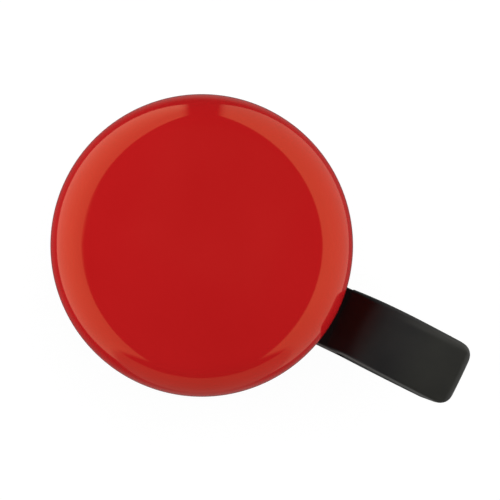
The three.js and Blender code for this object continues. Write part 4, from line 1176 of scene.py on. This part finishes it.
def screw_profile(head, top):
    """A pan head with a soft crown, then the shank down its thread's core."""
    corners = [(0, head, 0), (3.0, head, 2.2), (3.7, head + 1.0, 0.6)]
    corners += [(3.7, head + 2.4, 0.12), (2.0, head + 2.4, 0.1)]
    crown = rounded(corners, 6, False)
    return crown + [(2.0, head + 4.0), (1.82, head + 4.3), (1.82, top - 0.4), (1.4, top), (0, top)]


def make_fasteners():
    for place in ("front", "rear"):
        centre = middle("clamp_screw_" + place)
        head, top = span("clamp_screw_" + place, Z)
        shank = turned("shank", screw_profile(head, top))
        arms = []
        for width, length in ((0.9, 4.6), (4.6, 0.9)):
            x, y = width / 2, length / 2
            outline = rounded([(-x, -y, 0.12), (x, -y, 0.12), (x, y, 0.12), (-x, y, 0.12)], 3)
            arms.append(plate("recess", [outline], head - 1, head + 1.3, edge=0.0, steps=0))
        shank = boolean(shank, "DIFFERENCE", *arms)
        thread = threaded("thread", 2.0, 0.7, head + 4.3, top - 0.5, depth=0.2)
        screw = moved(combined("clamp_pan_screw_" + place, shank, thread), (*centre, 0))
        finish(screw, "clamp_screw_" + place, angle=30)
        flat = washer("flat_washer_" + place, 2.2, 4.0, *span("clamp_washer_" + place, Z), centre=centre)
        finish(flat, "clamp_washer_" + place)
        low, high = span("clamp_nut_" + place, Z)
        nut = hexagon("square_nut_" + place, 4, 7.0, low, high, 2.15, centre=centre)
        finish(nut, "clamp_nut_" + place, angle=25)


# ---------------------------------------------------------------- stage, light and camera


def make_floor():
    """A white floor: it shows white, keeps the shadow that falls on it, and isn't seen in reflections."""
    reach = 1600
    low = span("clamp_strap", Z)[0] - 6.5
    floor = mesh_piece("floor", rectangle(-reach, -reach, reach, reach, low), [(0, 1, 2, 3)])
    material = bpy.data.materials.new("white floor")
    material.use_nodes = True
    material.node_tree.nodes.clear()
    tree = Tree(material.node_tree)
    lit = tree.node("ShaderNodeBsdfDiffuse", None, {"Color": (0.8, 0.8, 0.8, 1)})
    white = tree.node("ShaderNodeEmission", None, {"Color": (1, 1, 1, 1), "Strength": 1.09})
    kinds = ("Is Camera Ray", "Is Glossy Ray", "Is Transmission Ray")
    rays = [tree.node("ShaderNodeLightPath", output=kind) for kind in kinds]
    seen = rays[0].math("MAXIMUM", rays[0], rays[1].math("MAXIMUM", rays[1], rays[2]))
    mixed = tree.node("ShaderNodeMixShader", None, {0: seen * 0.82, 1: lit, 2: white})
    tree.node("ShaderNodeOutputMaterial", None, {"Surface": mixed})
    floor.data.materials.append(material)
    floor.visible_glossy = False


RIGHT_PANEL = 0.66  # how bright the right soft box is in reflections
DIFFUSE_LEVEL = 0.32  # the world's even light on surfaces


def make_world():
    """White to the camera, an even light on surfaces, and to reflections a room of two tall soft boxes."""
    world = bpy.data.worlds.new("studio")
    bpy.context.scene.world = world
    world.use_nodes = True
    world.node_tree.nodes.clear()
    tree = Tree(world.node_tree)
    direction = tree.node("ShaderNodeTexCoord", output="Generated")
    split = tree.node("ShaderNodeSeparateXYZ", None, {"Vector": direction})
    x, y, z = (Socket(tree, split.output.node.outputs[i]) for i in range(3))
    side = abs(x) + 0.0001
    slope = z / side
    reach = abs(y) / side
    right = x.soft(-0.05, 0.05)
    front_side = y.soft(0.05, -0.1)
    top_edge = right.ramp(0, 1, 1.2, 1.05)
    upper_edge = (top_edge + reach * front_side.ramp(0, 1, 0.26, 0.12) - slope).soft(-0.06, 0.1)
    lower_edge = right.ramp(0, 1, -0.5, -0.85) - reach * 0.2 * (1 - front_side * (1 - right))
    above_floor = (slope - lower_edge).soft(-0.05, 0.05)
    within = reach.soft(5.0, 10.0, 1.0, 0.0) * y.soft(-0.8, -0.73)
    fall = slope.ramp(-0.6, 1.04)
    left_level = fall.ramp(0, 1, 0.98, 0.62)
    level = left_level + (RIGHT_PANEL - left_level) * right
    turned_away = y.soft(-0.75, -0.2, 0.76, 1.0)
    panel = upper_edge * above_floor * within * turned_away * level
    front = (z + y * 0.28).soft(-0.03, 0.03, 1.0, 0.0) * y.soft(-0.3, -0.1, 1.0, 0.0)
    front = front * (z + 0.6).soft(-0.15, 0.1) * (1 - within) * 0.24
    below = 0.04 + z.soft(-0.8, -0.45, 0.08, 0.0) * side.soft(0.1, 0.45, 2.5, 1.0)
    below = below * (1 - upper_edge * within * above_floor) * z.soft(-0.98, -0.92)
    overhead = z.soft(0.2, 0.6, 0.0, 0.006)
    seen = panel + front + below + overhead
    path = tree.node("ShaderNodeLightPath")
    kinds = ("Is Camera Ray", "Is Glossy Ray")
    camera, glossy = (Socket(tree, path.output.node.outputs[kind]) for kind in kinds)
    strength = camera + (1 - camera) * (glossy * seen + (1 - glossy) * DIFFUSE_LEVEL)
    shine = tree.node("ShaderNodeBackground", None, {"Color": (1, 1, 1, 1), "Strength": strength})
    tree.node("ShaderNodeOutputWorld", None, {"Surface": shine})


def add_lamp(name, towards, distance, size, power):
    """A square soft box, square on to the bell, which lights but isn't mirrored."""
    data = bpy.data.lights.new(name, "AREA")
    data.shape = "SQUARE"
    data.size = size
    data.energy = power
    lamp = add_object(name, data)
    away = Vector(towards).normalized()
    lamp.location = away * distance + Vector((0, 0, 0.03))
    lamp.rotation_euler = away.to_track_quat("Z", "Y").to_euler()
    lamp.visible_glossy = False


def make_lights():
    add_lamp("overhead_box", (0.1, 0.25, 1.0), 1.0, 0.9, 5.3)
    add_lamp("left_box", (-1.0, 0.15, 0.2), 0.9, 0.6, 5.2)
    add_lamp("right_box", (1.0, 0.15, 0.2), 0.9, 0.6, 3.6)
    add_lamp("front_box", (0.1, -1.0, 0.2), 0.9, 0.6, 1.2)


def make_camera():
    data = bpy.data.cameras.new("camera")
    data.sensor_width = 36
    data.lens = 180
    data.clip_start = 0.01
    data.clip_end = 10
    camera = add_object("camera", data)
    camera.location = (8.77 * MM, -0.83 * MM, 483.5 * MM)
    bpy.context.scene.camera = camera


# ---------------------------------------------------------------- the bell


def make_bell():
    make_dome()
    make_dome_boss()
    make_lever()
    make_base()
    make_post()
    make_post_stack()
    make_rivets()
    make_clip()
    make_spring()
    make_idler()
    make_rotor_hub()
    make_rotor_arm()
    make_strikers()
    make_saddle()
    make_strap()
    make_liner("saddle_liner", 1, 16.0)
    make_liner("strap_liner", -1, 12.4)
    make_fasteners()


make_bell()
make_floor()
make_world()
make_lights()
make_camera()
bpy.context.scene.view_settings.view_transform = "Standard"
